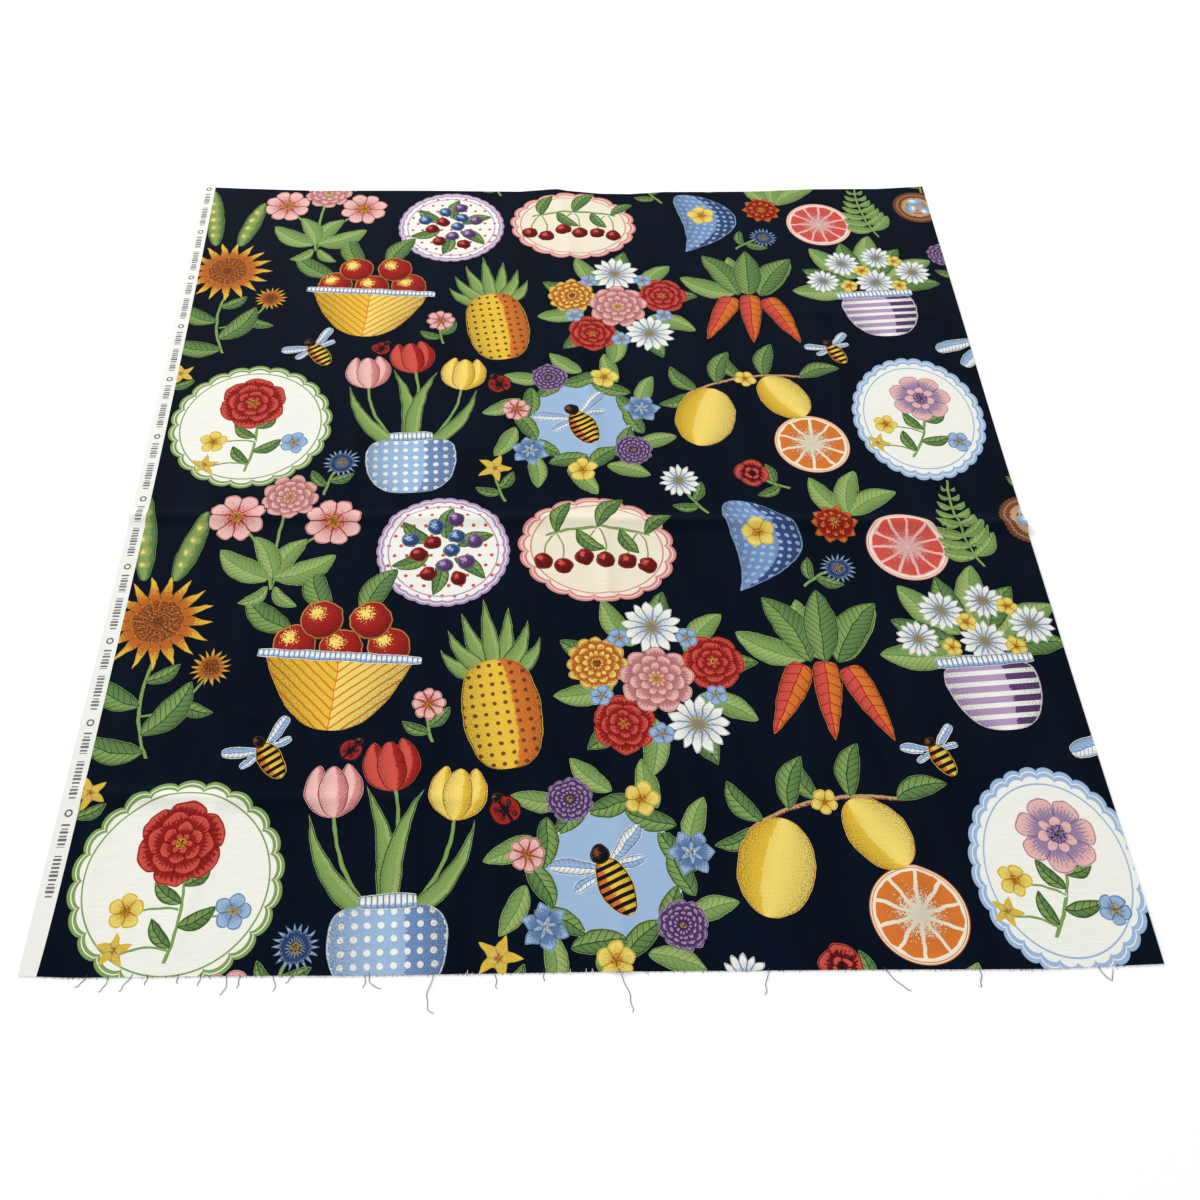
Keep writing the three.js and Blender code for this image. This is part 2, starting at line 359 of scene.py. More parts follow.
def light_of(screen_colour):
    """Linear light from a screen colour of 0 to 255, by the usual power law of 2.4."""
    share = np.asarray(screen_colour) / 255
    return np.where(share < 0.04045, share / 12.92, ((share + 0.055) / 1.055) ** 2.4)


print("inks:", len(INKS))

# %% [markdown]
# Every motif is made of three kinds of shape. A bloom is rings of petals about a heart: with one ring
# it is a daisy, with five it is a dahlia, and with no petals it is a berry. A plate is a scalloped
# disc with a rim, a fine ring and perhaps dots. A long shape runs from a base to a tip, and two
# powers set how it swells: it is a leaf, a stem, a wing, a jar or a lemon. The tables name the kinds.
# Shapes go to seven layers, printed one over the other.

# %% Kinds of shape
LAYERS = ("plates", "stems", "leaves", "blooms", "vessels", "bands", "tops")
# petals, rings, notch depth, pointedness, heart radius, side line in mm, rim, core and heart ink
BLOOM_KINDS = {
    "camellia": (6, 4, 0.6, 0.0, 0.12, 0.40, "coral", "red", "yellow"),
    "peony": (9, 4, 0.8, 0.0, 0.17, 0.35, "pale_pink", "pink", "yellow"),
    "sunflower": (17, 2, 0.9, 0.8, 0.44, 0.35, "yellow", "orange", "brown"),
    "zinnia": (13, 5, 0.7, 0.0, 0.13, 0.35, "lilac", "violet", "yellow"),
    "carnelian": (10, 3, 0.85, 0.4, 0.16, 0.40, "orange", "red", "lemon"),
    "bluebell": (6, 2, 0.7, 0.6, 0.20, 0.40, "sky", "blue", "ivory"),
    "marigold": (12, 4, 0.75, 0.1, 0.15, 0.35, "lemon", "orange", "brown"),
    "poppy": (4, 2, 0.3, 0.0, 0.24, 0.40, "coral", "deep_red", "soot"),
    "cosmos": (8, 1, 0.26, 0.0, 0.22, 0.45, "pale_pink", "coral", "yellow"),
    "daisy": (14, 1, 0.34, 0.3, 0.28, 0.40, "ivory", "sky", "yellow"),
    "aster": (18, 2, 0.8, 0.9, 0.25, 0.30, "sky", "deep_blue", "yellow"),
    "primrose": (5, 1, 0.34, 0.0, 0.30, 0.40, "lemon", "yellow", "orange"),
    "forget_me_not": (5, 1, 0.30, 0.0, 0.30, 0.35, "sky", "blue", "yellow"),
    "anemone": (7, 2, 0.5, 0.0, 0.26, 0.40, "pale_pink", "lilac", "violet"),
    "star": (5, 1, 0.55, 1.0, 0.20, 0.30, "yellow", "lemon", "orange"),
    "slice": (10, 1, 0.0, 0.0, 0.09, 0.85, "orange", "cream", "cream"),
    "pink_slice": (11, 1, 0.0, 0.0, 0.09, 0.85, "coral", "pale_pink", "cream"),
    "ladybird": (2, 1, 0.0, 0.0, 0.0, 0.7, "red", "soot", "soot"),
    "blueberry": (0, 1, 0.0, 0.0, 0.24, 0.0, "deep_blue", "sky", "deep_blue"),
    "cherry": (0, 1, "deep_red", "coral", "red"),
    "apple": (0, 1, "red", "lemon", "red"),
    "plum": (0, 1, "violet", "lilac", "violet"),
    "pea": (0, 1, "lime", "lemon", "leaf"),
    "egg": (0, 1, "sky", "ivory", "blue"),
    "bee_head": (0, 1, "soot", "brown", "soot"),
}
# scallops, their depth, rim in mm, dot radius in mm, rim, ground and dot ink
PLATE_KINDS = {
    "doily": (22, 0.06, 4.2, 0.0, "leaf", "ivory", "ivory"),
    "sky_doily": (28, 0.05, 5.0, 0.0, "sky", "ivory", "ivory"),
    "pink_doily": (18, 0.07, 4.0, 0.0, "pink", "cream", "ivory"),
    "sky_disc": (24, 0.03, 1.6, 0.0, "ivory", "sky", "ivory"),
    "rind": (0, 0.0, 1.6, 0.0, "orange", "cream", "ivory"),
    "pink_rind": (0, 0.0, 1.8, 0.0, "pink", "cream", "ivory"),
    "nest": (40, 0.08, 6.5, 0.8, "brown", "tan", "brown"),
    "saucer": (30, 0.03, 4.0, 1.2, "lilac", "ivory", "coral"),
}
# half width for each mm of length, base and tip power, pattern pitch in mm, slant (below 0 for dots),
# share of the pitch that is inked, left and right ink, ink of lines
PLAIN = (99.0, 0.0, 0.0)
LONG_KINDS = {
    "leaf": (0.42, 0.75, 0.85, 4.0, 0.9, 0.13, "leaf", "deep_leaf", "pine"),
    "young_leaf": (0.42, 0.7, 0.8, 3.4, 0.9, 0.13, "lime", "leaf", "deep_leaf"),
    "blade": (0.16, 0.45, 1.1, *PLAIN, "leaf", "lime", "pine"),
    "stem": (0.0, 0.0, 0.0, *PLAIN, "leaf", "leaf", "deep_leaf"),
    "twig": (0.0, 0.0, 0.0, *PLAIN, "tan", "brown", "brown"),
    "red_petal": (0.5, 0.55, 0.6, *PLAIN, "coral", "red", "deep_red"),
    "pink_petal": (0.5, 0.55, 0.6, *PLAIN, "pale_pink", "pink", "red"),
    "yellow_petal": (0.5, 0.55, 0.6, *PLAIN, "lemon", "yellow", "orange"),
    "wing": (0.30, 0.75, 0.35, 2.6, 0.6, 0.16, "ivory", "sky", "blue"),
    "bee": (0.56, 0.5, 0.5, 4.2, 0.0, 0.5, "yellow", "orange", "soot"),
    "dragonfly": (0.10, 0.2, 0.4, 4.0, 0.0, 0.35, "sky", "blue", "deep_blue"),
    "lemon": (0.78, 0.5, 0.5, *PLAIN, "lemon", "yellow", "orange"),
    "jar": (0.62, 0.30, 0.16, 6.6, -1.0, 0.25, "sky", "blue", "ivory"),
    "neck": (0.9, 0.1, 0.1, 3.0, 0.0, 0.3, "ivory", "sky", "blue"),
    "bowl": (0.95, 0.42, 0.0, 6.0, 0.9, 0.22, "yellow", "lemon", "orange"),
    "carrot": (0.36, 0.22, 0.8, 6.5, 0.5, 0.10, "orange", "coral", "red"),
    "pineapple": (0.62, 0.32, 0.30, 6.2, -1.0, 0.20, "yellow", "orange", "brown"),
    "pot": (0.8, 0.35, 0.12, 7.0, 0.0, 0.42, "lilac", "violet", "ivory"),
    "pod": (0.26, 0.5, 0.6, *PLAIN, "leaf", "deep_leaf", "pine"),
    "paisley": (0.62, 1.0, 0.45, 5.4, -1.0, 0.26, "blue", "deep_blue", "sky"),
}
printed_rows = {layer: [] for layer in LAYERS}
print("kinds:", len(BLOOM_KINDS), "blooms,", len(PLATE_KINDS), "plates,", len(LONG_KINDS), "long")

# %% [markdown]
# A designer works one motif at a time on a scrap of paper, then turns and sizes the scraps. Spot is
# such a scrap: it has a place on the cloth, a turn and a size, and it carries each shape drawn on it
# to the right place. A row of numbers for each shape goes to the shape's layer. A stem hands back a
# function that walks along it, so that leaves and side shoots can spring from it.


# %% A spot to draw a motif on
KIND_NUMBERS = 6


def polar(degrees, away):
    """x and y of a point at an angle and a distance from the middle."""
    return away * np.cos(np.radians(degrees)), away * np.sin(np.radians(degrees))


def with_ink_numbers(values):
    """The six numbers of a kind, short rows made up with zeros, then the numbers of its inks."""
    *numbers, rim, core, heart = values
    numbers += [0.0] * (KIND_NUMBERS - len(numbers))
    return [*numbers, INK_NUMBERS[rim], INK_NUMBERS[core], INK_NUMBERS[heart]]


class Spot:
    """A place on the map, in millimetres, with a turn in degrees and a size."""

    def __init__(self, u, v, turn=0.0, size=1.0):
        self.u, self.v, self.turn, self.size = u, v, turn, size

    def at(self, x, y):
        """The point turned about the spot's own middle, sized, and moved to its place."""
        c, s = polar(self.turn, self.size)
        return self.u + c * x - s * y, self.v + s * x + c * y

    def round(self, layer, kind, x, y, radius, turn=0.0, squash=1.0):
        """A bloom or plate: place, radius, turn and squash, then the numbers of its kind."""
        row = (*self.at(x, y), radius * self.size, turn + self.turn, squash)
        numbers = with_ink_numbers((BLOOM_KINDS | PLATE_KINDS)[kind])
        printed_rows[layer].append((*row, *numbers))

    def long(self, layer, kind, x, y, heading, length, bend=0.0, half=None):
        """A long shape: place of its base, length, heading and bend, then its kind's numbers.

        s^base x (1 - s)^tip is widest at s = base / (base + tip), where half the width is half."""
        share, base, tip, *pattern = with_ink_numbers(LONG_KINDS[kind])
        widest = (base / (base + tip)) ** base * (tip / (base + tip)) ** tip if base * tip else 1.0
        width = (half or 0.5 * share * length) * self.size / widest
        row = (*self.at(x, y), length * self.size, heading + self.turn, bend * self.size)
        printed_rows[layer].append((*row, width, base, tip, *pattern))

    def stem(self, start, end, bend=0.0, half=0.9, kind="stem"):
        """A stem between two points. Returns a function that walks along it, from 0 to 1."""
        run = np.subtract(end, start)
        length, heading = np.hypot(*run), np.degrees(np.arctan2(run[1], run[0]))
        self.long("stems", kind, *start, heading, length, bend, half)
        side = np.array([-run[1], run[0]]) / length

        def walk(t):
            x, y = np.array(start) + run * t + side * bend * 4 * t * (1 - t)
            return x, y, heading + np.degrees(np.arctan(4 * bend * (1 - 2 * t) / length))

        return walk


print("a spot carries", [name for name in vars(Spot) if not name.startswith("_")])

# %% [markdown]
# Now the motifs. Each is a short function that draws on a spot, with its own foot or middle at the
# spot's place, in millimetres before the spot sizes it. Leaves and flowers that overlap go to
# different layers, so two neighbours take turns between layers. A leaf springs from a stem at the
# angle of growth, which is 40 to 60 degrees.

# %% Motifs: stems, flowers and posies
GROWTH = 52


def leafy_stem(spot, start, end, bend, leaves):
    """A stem, and leaves on it: a share of the way, a side, a length and a bend for each."""
    walk = spot.stem(start, end, bend)
    for share, side, length, curl in leaves:
        x, y, heading = walk(share)
        spot.long("leaves", "leaf", x, y, heading + side * GROWTH, length, curl * side)
    return walk


def sprig(spot, bloom, radius, height):
    """One large bloom on a curved stem with four leaves, and a bud on a side shoot."""
    leaves = [(0.06, 1, 34, 4), (0.22, -1, 38, 4), (0.50, 1, 33, 4), (0.74, -1, 20, 2)]
    walk = leafy_stem(spot, (0, 0), (4, height), 6, leaves)
    spot.round("blooms", bloom, 4, height + radius * 0.7, radius, 12)
    x, y, _ = walk(0.4)
    shoot = spot.stem((x, y), (x + 34, y + 18), -5, 0.7)
    spot.long("stems", "leaf", *shoot(0.55)[:2], -28, 19, -2)
    spot.round("tops", bloom, x + 37, y + 24, radius * 0.36, 40)


def spray(spot, blooms, radius):
    """Three blooms of one size that fan out from one foot, with large leaves between them."""
    for layer, heading, length, curl in (
        ("leaves", 28, 40, -4), ("stems", 62, 34, 3), ("leaves", 118, 34, -3), ("stems", 152, 40, 4),
    ):
        spot.long(layer, "young_leaf", 0, 8, heading, length, curl)
    for bloom, x, y, bend in zip(blooms, (-30, 0, 30), (48, 66, 48), (-6, 2, 6)):
        spot.stem((0, 0), (x, y), bend)
        spot.round("blooms", bloom, x, y + 4, radius, 3 * x)
    for side, heading in ((-1, -140), (1, -40)):
        spot.long("leaves", "young_leaf", 2 * side, 2, heading, 20, -3 * side)


def posy(spot, middle, others, radius):
    """A ring of leaves, five blooms round a larger one, and small flowers in the gaps."""
    for number in range(10):
        layer, kind = (("leaves", "leaf"), ("stems", "young_leaf"))[number % 2]
        angle = 36 * number + 10
        spot.long(layer, kind, *polar(angle, radius * 0.7), angle, radius * 0.98, 2)
    for number in range(5):
        place = polar(72 * number + 18, 0.98 * radius)
        spot.round("blooms", others[number % len(others)], *place, radius * 0.5, 30 * number)
        place = polar(72 * number + 54, 0.95 * radius)
        spot.round("tops", "forget_me_not", *place, radius * 0.19, 20 * number)
    spot.round("tops", middle, 0, 0, radius * 0.6, 8)


def garland(spot, radius, blooms):
    """Seven flowers and 21 leaves in a closed ring round a pale blue disc."""
    spot.round("plates", "sky_disc", 0, 0, radius * 0.84)
    for number in range(21):
        layer, kind, lean = (("leaves", "leaf", 128), ("stems", "young_leaf", 52))[number % 2]
        angle = 360 * number / 21
        spot.long(layer, kind, *polar(angle, radius), angle + lean, radius * 0.66, 1.5)
    for number in range(7):
        place = polar(360 * (number + 0.25) / 7, radius)
        size = radius * (0.29, 0.22)[number % 2]
        spot.round("blooms", blooms[number % len(blooms)], *place, size, 40 * number)


def doily(spot, kind, radius, bloom, squash=1.0):
    """A scalloped paper doily with a small flowering branch on it."""
    spot.round("plates", kind, 0, 0, radius, 0, squash)
    leaves = [(0.12, 1, 19, 2), (0.28, -1, 21, 2), (0.48, 1, 20, 2), (0.62, -1, 17, 2), (0.8, 1, 13, 1)]
    walk = leafy_stem(spot, (-0.1 * radius, -0.74 * radius), (2, 0.36 * radius), -5, leaves)
    spot.round("blooms", bloom, 2, 0.36 * radius, radius * 0.42, 15)
    for share, side, flower in ((0.28, 1, "forget_me_not"), (0.42, -1, "primrose"), (0.1, -1, "star")):
        x, y, _ = walk(share)
        spot.round("tops", flower, x + side * radius * 0.5, y + 4, radius * 0.17, 30 * side)
        spot.stem((x, y), (x + side * radius * 0.44, y + 2), side * 2, 0.6)


def small_flower(spot, bloom, radius):
    """A single bloom on a short stem with two leaves."""
    leafy_stem(spot, (0, -radius * 2.4), (0, 0), 1.5, [(0.25, 1, 17, 1.5), (0.4, -1, 17, 1.5)])
    spot.round("blooms", bloom, 0, 0, radius, 20)


# %% Motifs: jars and pots
def jar_of_tulips(spot):
    """A dotted round jar with four long blades and three tulips, of three petals each."""
    for layer, x, heading, length, bend in (
        ("leaves", -5.04, 122, 62, 7), ("stems", -1.68, 98, 66, -5), ("leaves", 1.4, 76, 64, 6),
        ("leaves", 4.76, 52, 58, -7),
    ):
        spot.long(layer, "blade", x, 34, heading, length, bend)
    for foot, x, y, bend, petal in (
        (-5, -26, 84, 5, "pink_petal"), (0, 3, 96, -3, "red_petal"), (6, 31, 80, -5, "yellow_petal"),
    ):
        heading = spot.stem((foot, 36), (x, y), bend)(1.0)[2]
        for side in (-1, 1):
            spot.long("leaves", petal, x, y, heading + 15 * side, 28, 4.5 * side, 6.16)
        spot.long("vessels", petal, x, y, heading, 26.32, 0, 7.56)
    spot.long("bands", "neck", -13, 43, 0, 26, 0, 3.6)
    spot.long("vessels", "jar", 0, 0, 90, 41, 0, 27)


def pot_of_daisies(spot):
    """A striped pot that overflows with daisies and small leaves."""
    for number, heading in enumerate(range(2, 180, 25)):
        layer, kind = (("leaves", "leaf"), ("stems", "young_leaf"))[number % 2]
        x, y = polar(heading, 1)
        spot.long(layer, kind, 12 * x, 44 + 14 * y, heading, 34 + 6 * (number % 2), 2)
    for x, y, radius in ((-30, 54, 11), (-13, 70, 12), (11, 74, 11), (31, 58, 12), (4, 50, 13)):
        spot.round("blooms", "daisy", x, y, radius, 9 * x)
    for x, y in ((-14, 48), (19, 46), (-2, 62), (22, 70)):
        spot.round("tops", "primrose", x, y, 5.5, 11 * x)
    spot.long("bands", "neck", -25, 39, 0, 50, 0, 3.4)
    spot.long("vessels", "pot", 0, 0, 90, 37, 0, 24)


def bowl_of_apples(spot):
    """A patterned bowl with a heap of five apples and three leaves."""
    for layer, x, y, heading in (
        ("stems", -24, 50, 145), ("leaves", 8, 60, 64), ("leaves", -8, 60, 112),
    ):
        spot.long(layer, "leaf", x, y, heading, 31, 3)
    for layer, x, y in (
        ("blooms", -22, 43), ("blooms", 0, 42), ("blooms", 22, 44), ("tops", -11, 57), ("tops", 12, 58),
    ):
        spot.round(layer, "apple", x, y, 10.4)
    spot.long("vessels", "bowl", 0, 0, 90, 36, 0, 34)
    spot.long("bands", "neck", -38, 37.5, 0, 76, 0, 2.6)


def saucer_of_berries(spot):
    """A scalloped saucer seen from above, with six leaves and twelve berries in a spiral."""
    spot.round("plates", "saucer", 0, 0, 37)
    for heading in range(20, 380, 60):
        spot.long("leaves", "leaf", *polar(heading, 8), heading, 22, 2)
    for number in range(12):
        place = polar(np.degrees(2.4 * number), 6.4 * (number + 0.5) ** 0.5)
        spot.round("tops", ("blueberry", "cherry", "plum")[number % 3], *place, 4.8)


# %% Motifs: fruit and kitchen garden
def lemons(spot):
    """Two lemons and an orange slice with leaves on a twig."""
    walk = spot.stem((-44, 26), (36, 36), 8, 1.1, "twig")
    for layer, share, heading, length in (
        ("leaves", 0.12, 122, 26), ("leaves", 0.3, 66, 30), ("stems", 0.5, 108, 24),
        ("leaves", 0.7, 70, 30), ("leaves", 0.97, 12, 28), ("leaves", 0.03, 200, 20),
    ):
        spot.long(layer, "leaf", *walk(share)[:2], heading, length, 3)
    spot.round("plates", "rind", 28, -20, 23)
    spot.round("blooms", "slice", 28, -20, 20.8, 10)
    spot.round("tops", "primrose", -2, 38, 7, 10)
    spot.long("vessels", "lemon", -24, 31, -112, 50, 0, 18.5)
    spot.long("vessels", "lemon", 10, 38, -62, 40, 0, 14.5)


def pink_fruit(spot):
    """A pink fruit cut across, with three leaves and an orange flower."""
    for layer, heading in (("leaves", 70), ("stems", 118), ("leaves", 24)):
        spot.long(layer, "young_leaf", -10, 14, heading, 30, 3)
    spot.round("plates", "pink_rind", 12, -8, 20)
    spot.round("blooms", "pink_slice", 12, -8, 17.6, 10)
    spot.round("blooms", "carnelian", -20, 10, 12, 10)


def pineapple(spot):
    """A fruit with a dotted skin and a crown of blades."""
    for number, lean in enumerate((0, -16, 16, -32, 32, -50, 50)):
        layer = "leaves" if number in (0, 3, 4) else "stems"
        spot.long(layer, "blade", lean * -0.1, 51, 90 + lean, 43 - abs(lean) * 0.34, lean * 0.09, 4.4)
    spot.long("vessels", "pineapple", 0, 0, 90, 58, 0, 19)


def cherries(spot, radius):
    """A branch with leaves and three pairs of hanging cherries, on a plate."""
    spot.round("plates", "pink_doily", 0, -7, radius, 0, 0.9)
    leaves = [(0.1, 1, 24, 3), (0.3, -1, 22, 3), (0.5, 1, 26, 3), (0.72, -1, 20, 2), (0.95, 1, 20, 2)]
    walk = leafy_stem(spot, (-30, 0), (30, 6), 5, leaves)
    for share in (0.1, 0.5, 0.9):
        x, y, _ = walk(share)
        for side in (-1, 1):
            spot.stem((x, y), (x + 5.4 * side, y - 18), 2 * side, 0.5)
            spot.round("tops", "cherry", x + 5.9 * side, y - 22 - side, 5.6)


def fern(spot):
    """A frond: leaflets in pairs that grow shorter towards the tip."""
    walk = spot.stem((0, 0), (6, 70), 5, 0.8)
    for share in 0.12 + 0.11 * np.arange(8):
        x, y, heading = walk(share)
        for side in (-1, 1):
            spot.long("leaves", "young_leaf", x, y, heading + 58 * side, 24 * (1.1 - share), 2 * side)


def carrots(spot):
    """Three carrots with their tops, lying side by side."""
    for side, layer in ((-1, "leaves"), (0, "bands"), (1, "leaves")):
        x = 12 * side
        spot.long("vessels", "carrot", x, 4 - abs(x) * 0.2, 24 * side - 90, 46, 0, 7.5)
        spot.long(layer, "leaf", x * 0.6, 4, 90 - 2.6 * x, 46, 0.3 * x)
        spot.long("stems", "young_leaf", x * 0.8, 5, 108 - 4.2 * x, 40, 3)


def pods(spot):
    """Two open pea pods side by side, one with five peas and one with four."""
    for foot, heading, count in ((-9, 100, 5), (9, 78, 4)):
        spot.long("vessels", "pod", foot, 0, heading, 13.0 * count, 0, 6.6)
        for number in range(count):
            x, y = polar(heading, 9.5 * number + 12)
            spot.round("tops", "pea", foot + x, y, 4.0 - 0.3 * abs(number - 2), 60)


# %% Motifs: small creatures and fillers
def bee(spot):
    """A striped bee with two pairs of wings, seen from above."""
    for heading, length in ((28, 23), (152, 23), (-8, 16), (188, 16)):
        spot.long("leaves", "wing", 0, 3, heading, length)
    spot.long("vessels", "bee", 0, 8, -90, 25, 0, 6.8)
    spot.round("tops", "bee_head", 0, 9.5, 4)


def dragonfly(spot):
    """A slim body and four long veined wings."""
    for y, heading, length in ((8, 17, 38), (8, 163, 38), (2, -14, 33), (2, 194, 33)):
        spot.long("leaves", "wing", 0, y, heading, length, 0, 6)
    spot.long("vessels", "dragonfly", 0, 13, -90, 52, 0, 3.0)
    spot.round("tops", "blueberry", 0, 15, 4.2)


def ladybird(spot):
    """A red beetle back with one seam and four spots."""
    spot.round("blooms", "ladybird", 0, 0, 8.5, 90)
    for x, y, radius in ((0, 8, 3.2), (-4, 2.5, 1.4), (4, 2.5, 1.4), (-3.6, -3.6, 1.4), (3.6, -3.6, 1.4)):
        spot.round("tops", "bee_head", x, y, radius)


def paisley(spot):
    """A dotted blue drop with a curled tip and a flower in its belly."""
    spot.long("vessels", "paisley", 0, 0, 90, 58, -14, 19)
    spot.round("tops", "primrose", 9, 38, 9)


def nest(spot):
    """Three pale eggs in a round nest."""
    spot.round("plates", "nest", 0, 0, 21)
    for x, y in ((-6, -2), (6, -3), (0, 7)):
        spot.round("tops", "egg", x, y, 5.4, 20 * x, 0.86)


print("motif functions ready")

# %% [markdown]
# The toss is laid out once for a length of the cloth, with large motifs first and small ones in the
# gaps, and then it comes round again along the selvedge. The design runs off all four edges, as it
# does on any length cut from a bolt.

# %% The toss, and its repeat
REPEAT = 312.0
FIRST_REPEAT = -18.0
# motif, place along U and V, turn, size, and what the motif asks for
TOSS = [
    (doily, 70, 64, 8, 1.0, "doily", 55, "camellia"),
    (jar_of_tulips, 180, 4, 2, 1.12),
    (garland, 292, 66, 0, 1.0, 44, ["bluebell", "primrose", "zinnia", "cosmos"]),
    (lemons, 414, 62, 4, 1.08),
    (doily, 522, 66, -10, 1.0, "sky_doily", 50, "anemone", 1.12),
    (sprig, 42, 132, 8, 1.08, "sunflower", 31, 60),
    (bowl_of_apples, 140, 148, -4, 1.26),
    (pineapple, 242, 124, 8, 1.18),
    (posy, 326, 178, 0, 1.0, "peony", ["camellia", "daisy", "marigold"], 36),
    (carrots, 424, 184, -4, 1.08),
    (pot_of_daisies, 520, 144, 4, 1.14),
    (pods, 30, 249, -2, 1.04),
    (spray, 98, 242, -4, 1.02, ["cosmos", "peony", "cosmos"], 18),
    (saucer_of_berries, 202, 270, 0, 1.12),
    (cherries, 298, 278, -6, 1.08, 41),
    (paisley, 382, 238, -8, 1.2),
    (pink_fruit, 474, 278, 6, 1.26),
    (fern, 534, 254, 10, 0.98),
    (nest, 572, 290, 0, 0.9),
    (bee, 108, 134, 34, 1.0),
    (dragonfly, 586, 134, 34, 0.9),
    (bee, 292, 64, 24, 1.3),
    (small_flower, 134, 30, -20, 1.0, "aster", 12),
    (small_flower, 234, 24, 14, 1.0, "star", 12),
    (ladybird, 238, 100, 30, 1.0),
    (small_flower, 196, 164, 6, 1.0, "cosmos", 10),
    (small_flower, 354, 12, 30, 1.0, "daisy", 13),
    (small_flower, 402, 18, 60, 1.0, "poppy", 11),
    (bee, 476, 130, 24, 0.84),
    (small_flower, 584, 22, -8, 1.0, "primrose", 11),
    (small_flower, 580, 232, 14, 1.0, "zinnia", 13),
    (small_flower, 16, 112, -16, 1.0, "star", 10),
    (ladybird, 154, 136, -40, 0.8),
    (small_flower, 444, 254, -60, 1.0, "aster", 11),
]

for number in range(-1, 3):
    for motif, u, v, turn, size, *rest in TOSS:
        motif(Spot(u, FIRST_REPEAT + REPEAT * number + v, turn, size), *rest)
print("shapes:", {layer: len(rows) for layer, rows in printed_rows.items()})

# %% [markdown]
# The shader has to know, at every point, which shapes lie there. So each face of the cloth learns
# which shape of each layer is nearest to its middle, and keeps that shape's numbers. Its corners
# keep their own places on that shape: x and y from the middle of a round one, or the share of the
# length and the distance from the spine of a long one. The shader then draws exact curves from
# these numbers, however coarse the faces are.

# %% Places on a shape
LONG_LAYERS = ("stems", "leaves", "vessels", "bands")
SHORT_OF_ENDS = 0.002


def turned(row, u, v):
    """x and y from a shape's place, in a frame that is turned with the shape."""
    x, y = u - row[0], v - row[1]
    c, s = polar(row[3], 1)
    return x * c + y * s, y * c - x * s


def on_round(row, u, v):
    """x and y, squashed, with the radius, and the distance from the rim, below 0 inside."""
    x, y = turned(row, u, v)
    x, y = x * row[4], y / row[4]
    return np.stack([x, y, row[2] + 0 * x], -1), np.hypot(x, y) - row[2]


def on_long(row, u, v):
    """Share s of the length, distance from the spine y = bend x 4 s (1 - s), and the length.

    Then the distance from the side or the end, whichever is greater, below 0 inside."""
    x, y = turned(row, u, v)
    s = x / row[2]
    y = y - row[4] * 4 * s * (1 - s)
    inner = np.clip(s, SHORT_OF_ENDS, 1 - SHORT_OF_ENDS)
    beside = np.abs(y) - row[5] * inner ** row[6] * (1 - inner) ** row[7]
    beyond = np.maximum(s - 1, -s) * row[2]
    gap = np.where(beyond > 0, np.hypot(beyond, np.maximum(beside, 0)), beside)
    return np.stack([s, y, row[2] + 0 * s], -1), gap


def corner_map(piece):
    """U and V of every face corner of a piece."""
    mesh = piece.data
    corners = np.empty(len(mesh.loops), np.int32)
    mesh.loops.foreach_get("vertex_index", corners)
    points = np.empty(3 * len(mesh.vertices), np.float32)
    mesh.vertices.foreach_get("co", points)
    return to_map(points.reshape(-1, 3).astype(float))[corners]


def keep_vectors(piece, name, domain, vectors):
    """Store one vector for each face or each corner under a name, for the shader."""
    stored = piece.data.attributes.new(name, "FLOAT_VECTOR", domain)
    stored.data.foreach_set("vector", np.ascontiguousarray(vectors, np.float32).ravel())


# %% Choose a shape for each face, layer by layer
REACH_AROUND = 14.0
REACH_SHARE = 1.3
NO_SIZE = 0.001
MID_INK = 0.5


def print_layer(piece, layer, rows):
    """Store the nearest shape's numbers on each face, and each corner's place on that shape."""
    corners = corner_map(piece)
    sizes = np.empty(len(piece.data.polygons), np.int32)
    piece.data.polygons.foreach_get("loop_total", sizes)
    face = np.repeat(np.arange(len(sizes)), sizes)
    middle = np.stack([np.bincount(face, corners[:, axis]) / sizes for axis in (0, 1)], -1)
    on_shape = on_long if layer in LONG_LAYERS else on_round
    best, nearest = np.full(len(sizes), np.inf), np.zeros(len(sizes), int)
    for number, row in enumerate(rows):
        reach = row[2] * REACH_SHARE + abs(row[4]) + REACH_AROUND
        near = np.flatnonzero(np.abs(middle - row[:2]).max(axis=1) < reach)
        gap = on_shape(row, *middle[near].T)[1]
        closer = gap < best[near]
        best[near[closer]], nearest[near[closer]] = gap[closer], number
    # Faces that no shape comes near keep the first row, with next to no size and no width.
    numbers = np.array(rows)[nearest]
    numbers[np.isinf(best), 2] = NO_SIZE
    numbers[np.isinf(best), 5] = 0.0
    keep_vectors(piece, f"{layer}_place", "CORNER", on_shape(numbers[face].T, *corners.T)[0])
    for word, first, extra in (("form", 5, 0.0), ("finish", 8, 0.0), ("inks", 11, MID_INK)):
        keep_vectors(piece, f"{layer}_{word}", "FACE", numbers[:, first:first + 3] + extra)
    return int((best < 0).sum())


for layer in LAYERS:
    print(layer, "cover", print_layer(printed, layer, printed_rows[layer]), "faces")

# %% [markdown]
# Materials come next. Their patterns are formulas, so a small class lets them be written as
# formulas. A Wire is one socket of a node. The usual signs join wires by Math or Vector Math nodes,
# and its node method adds any other: its type, its settings, then its sockets by name or number.


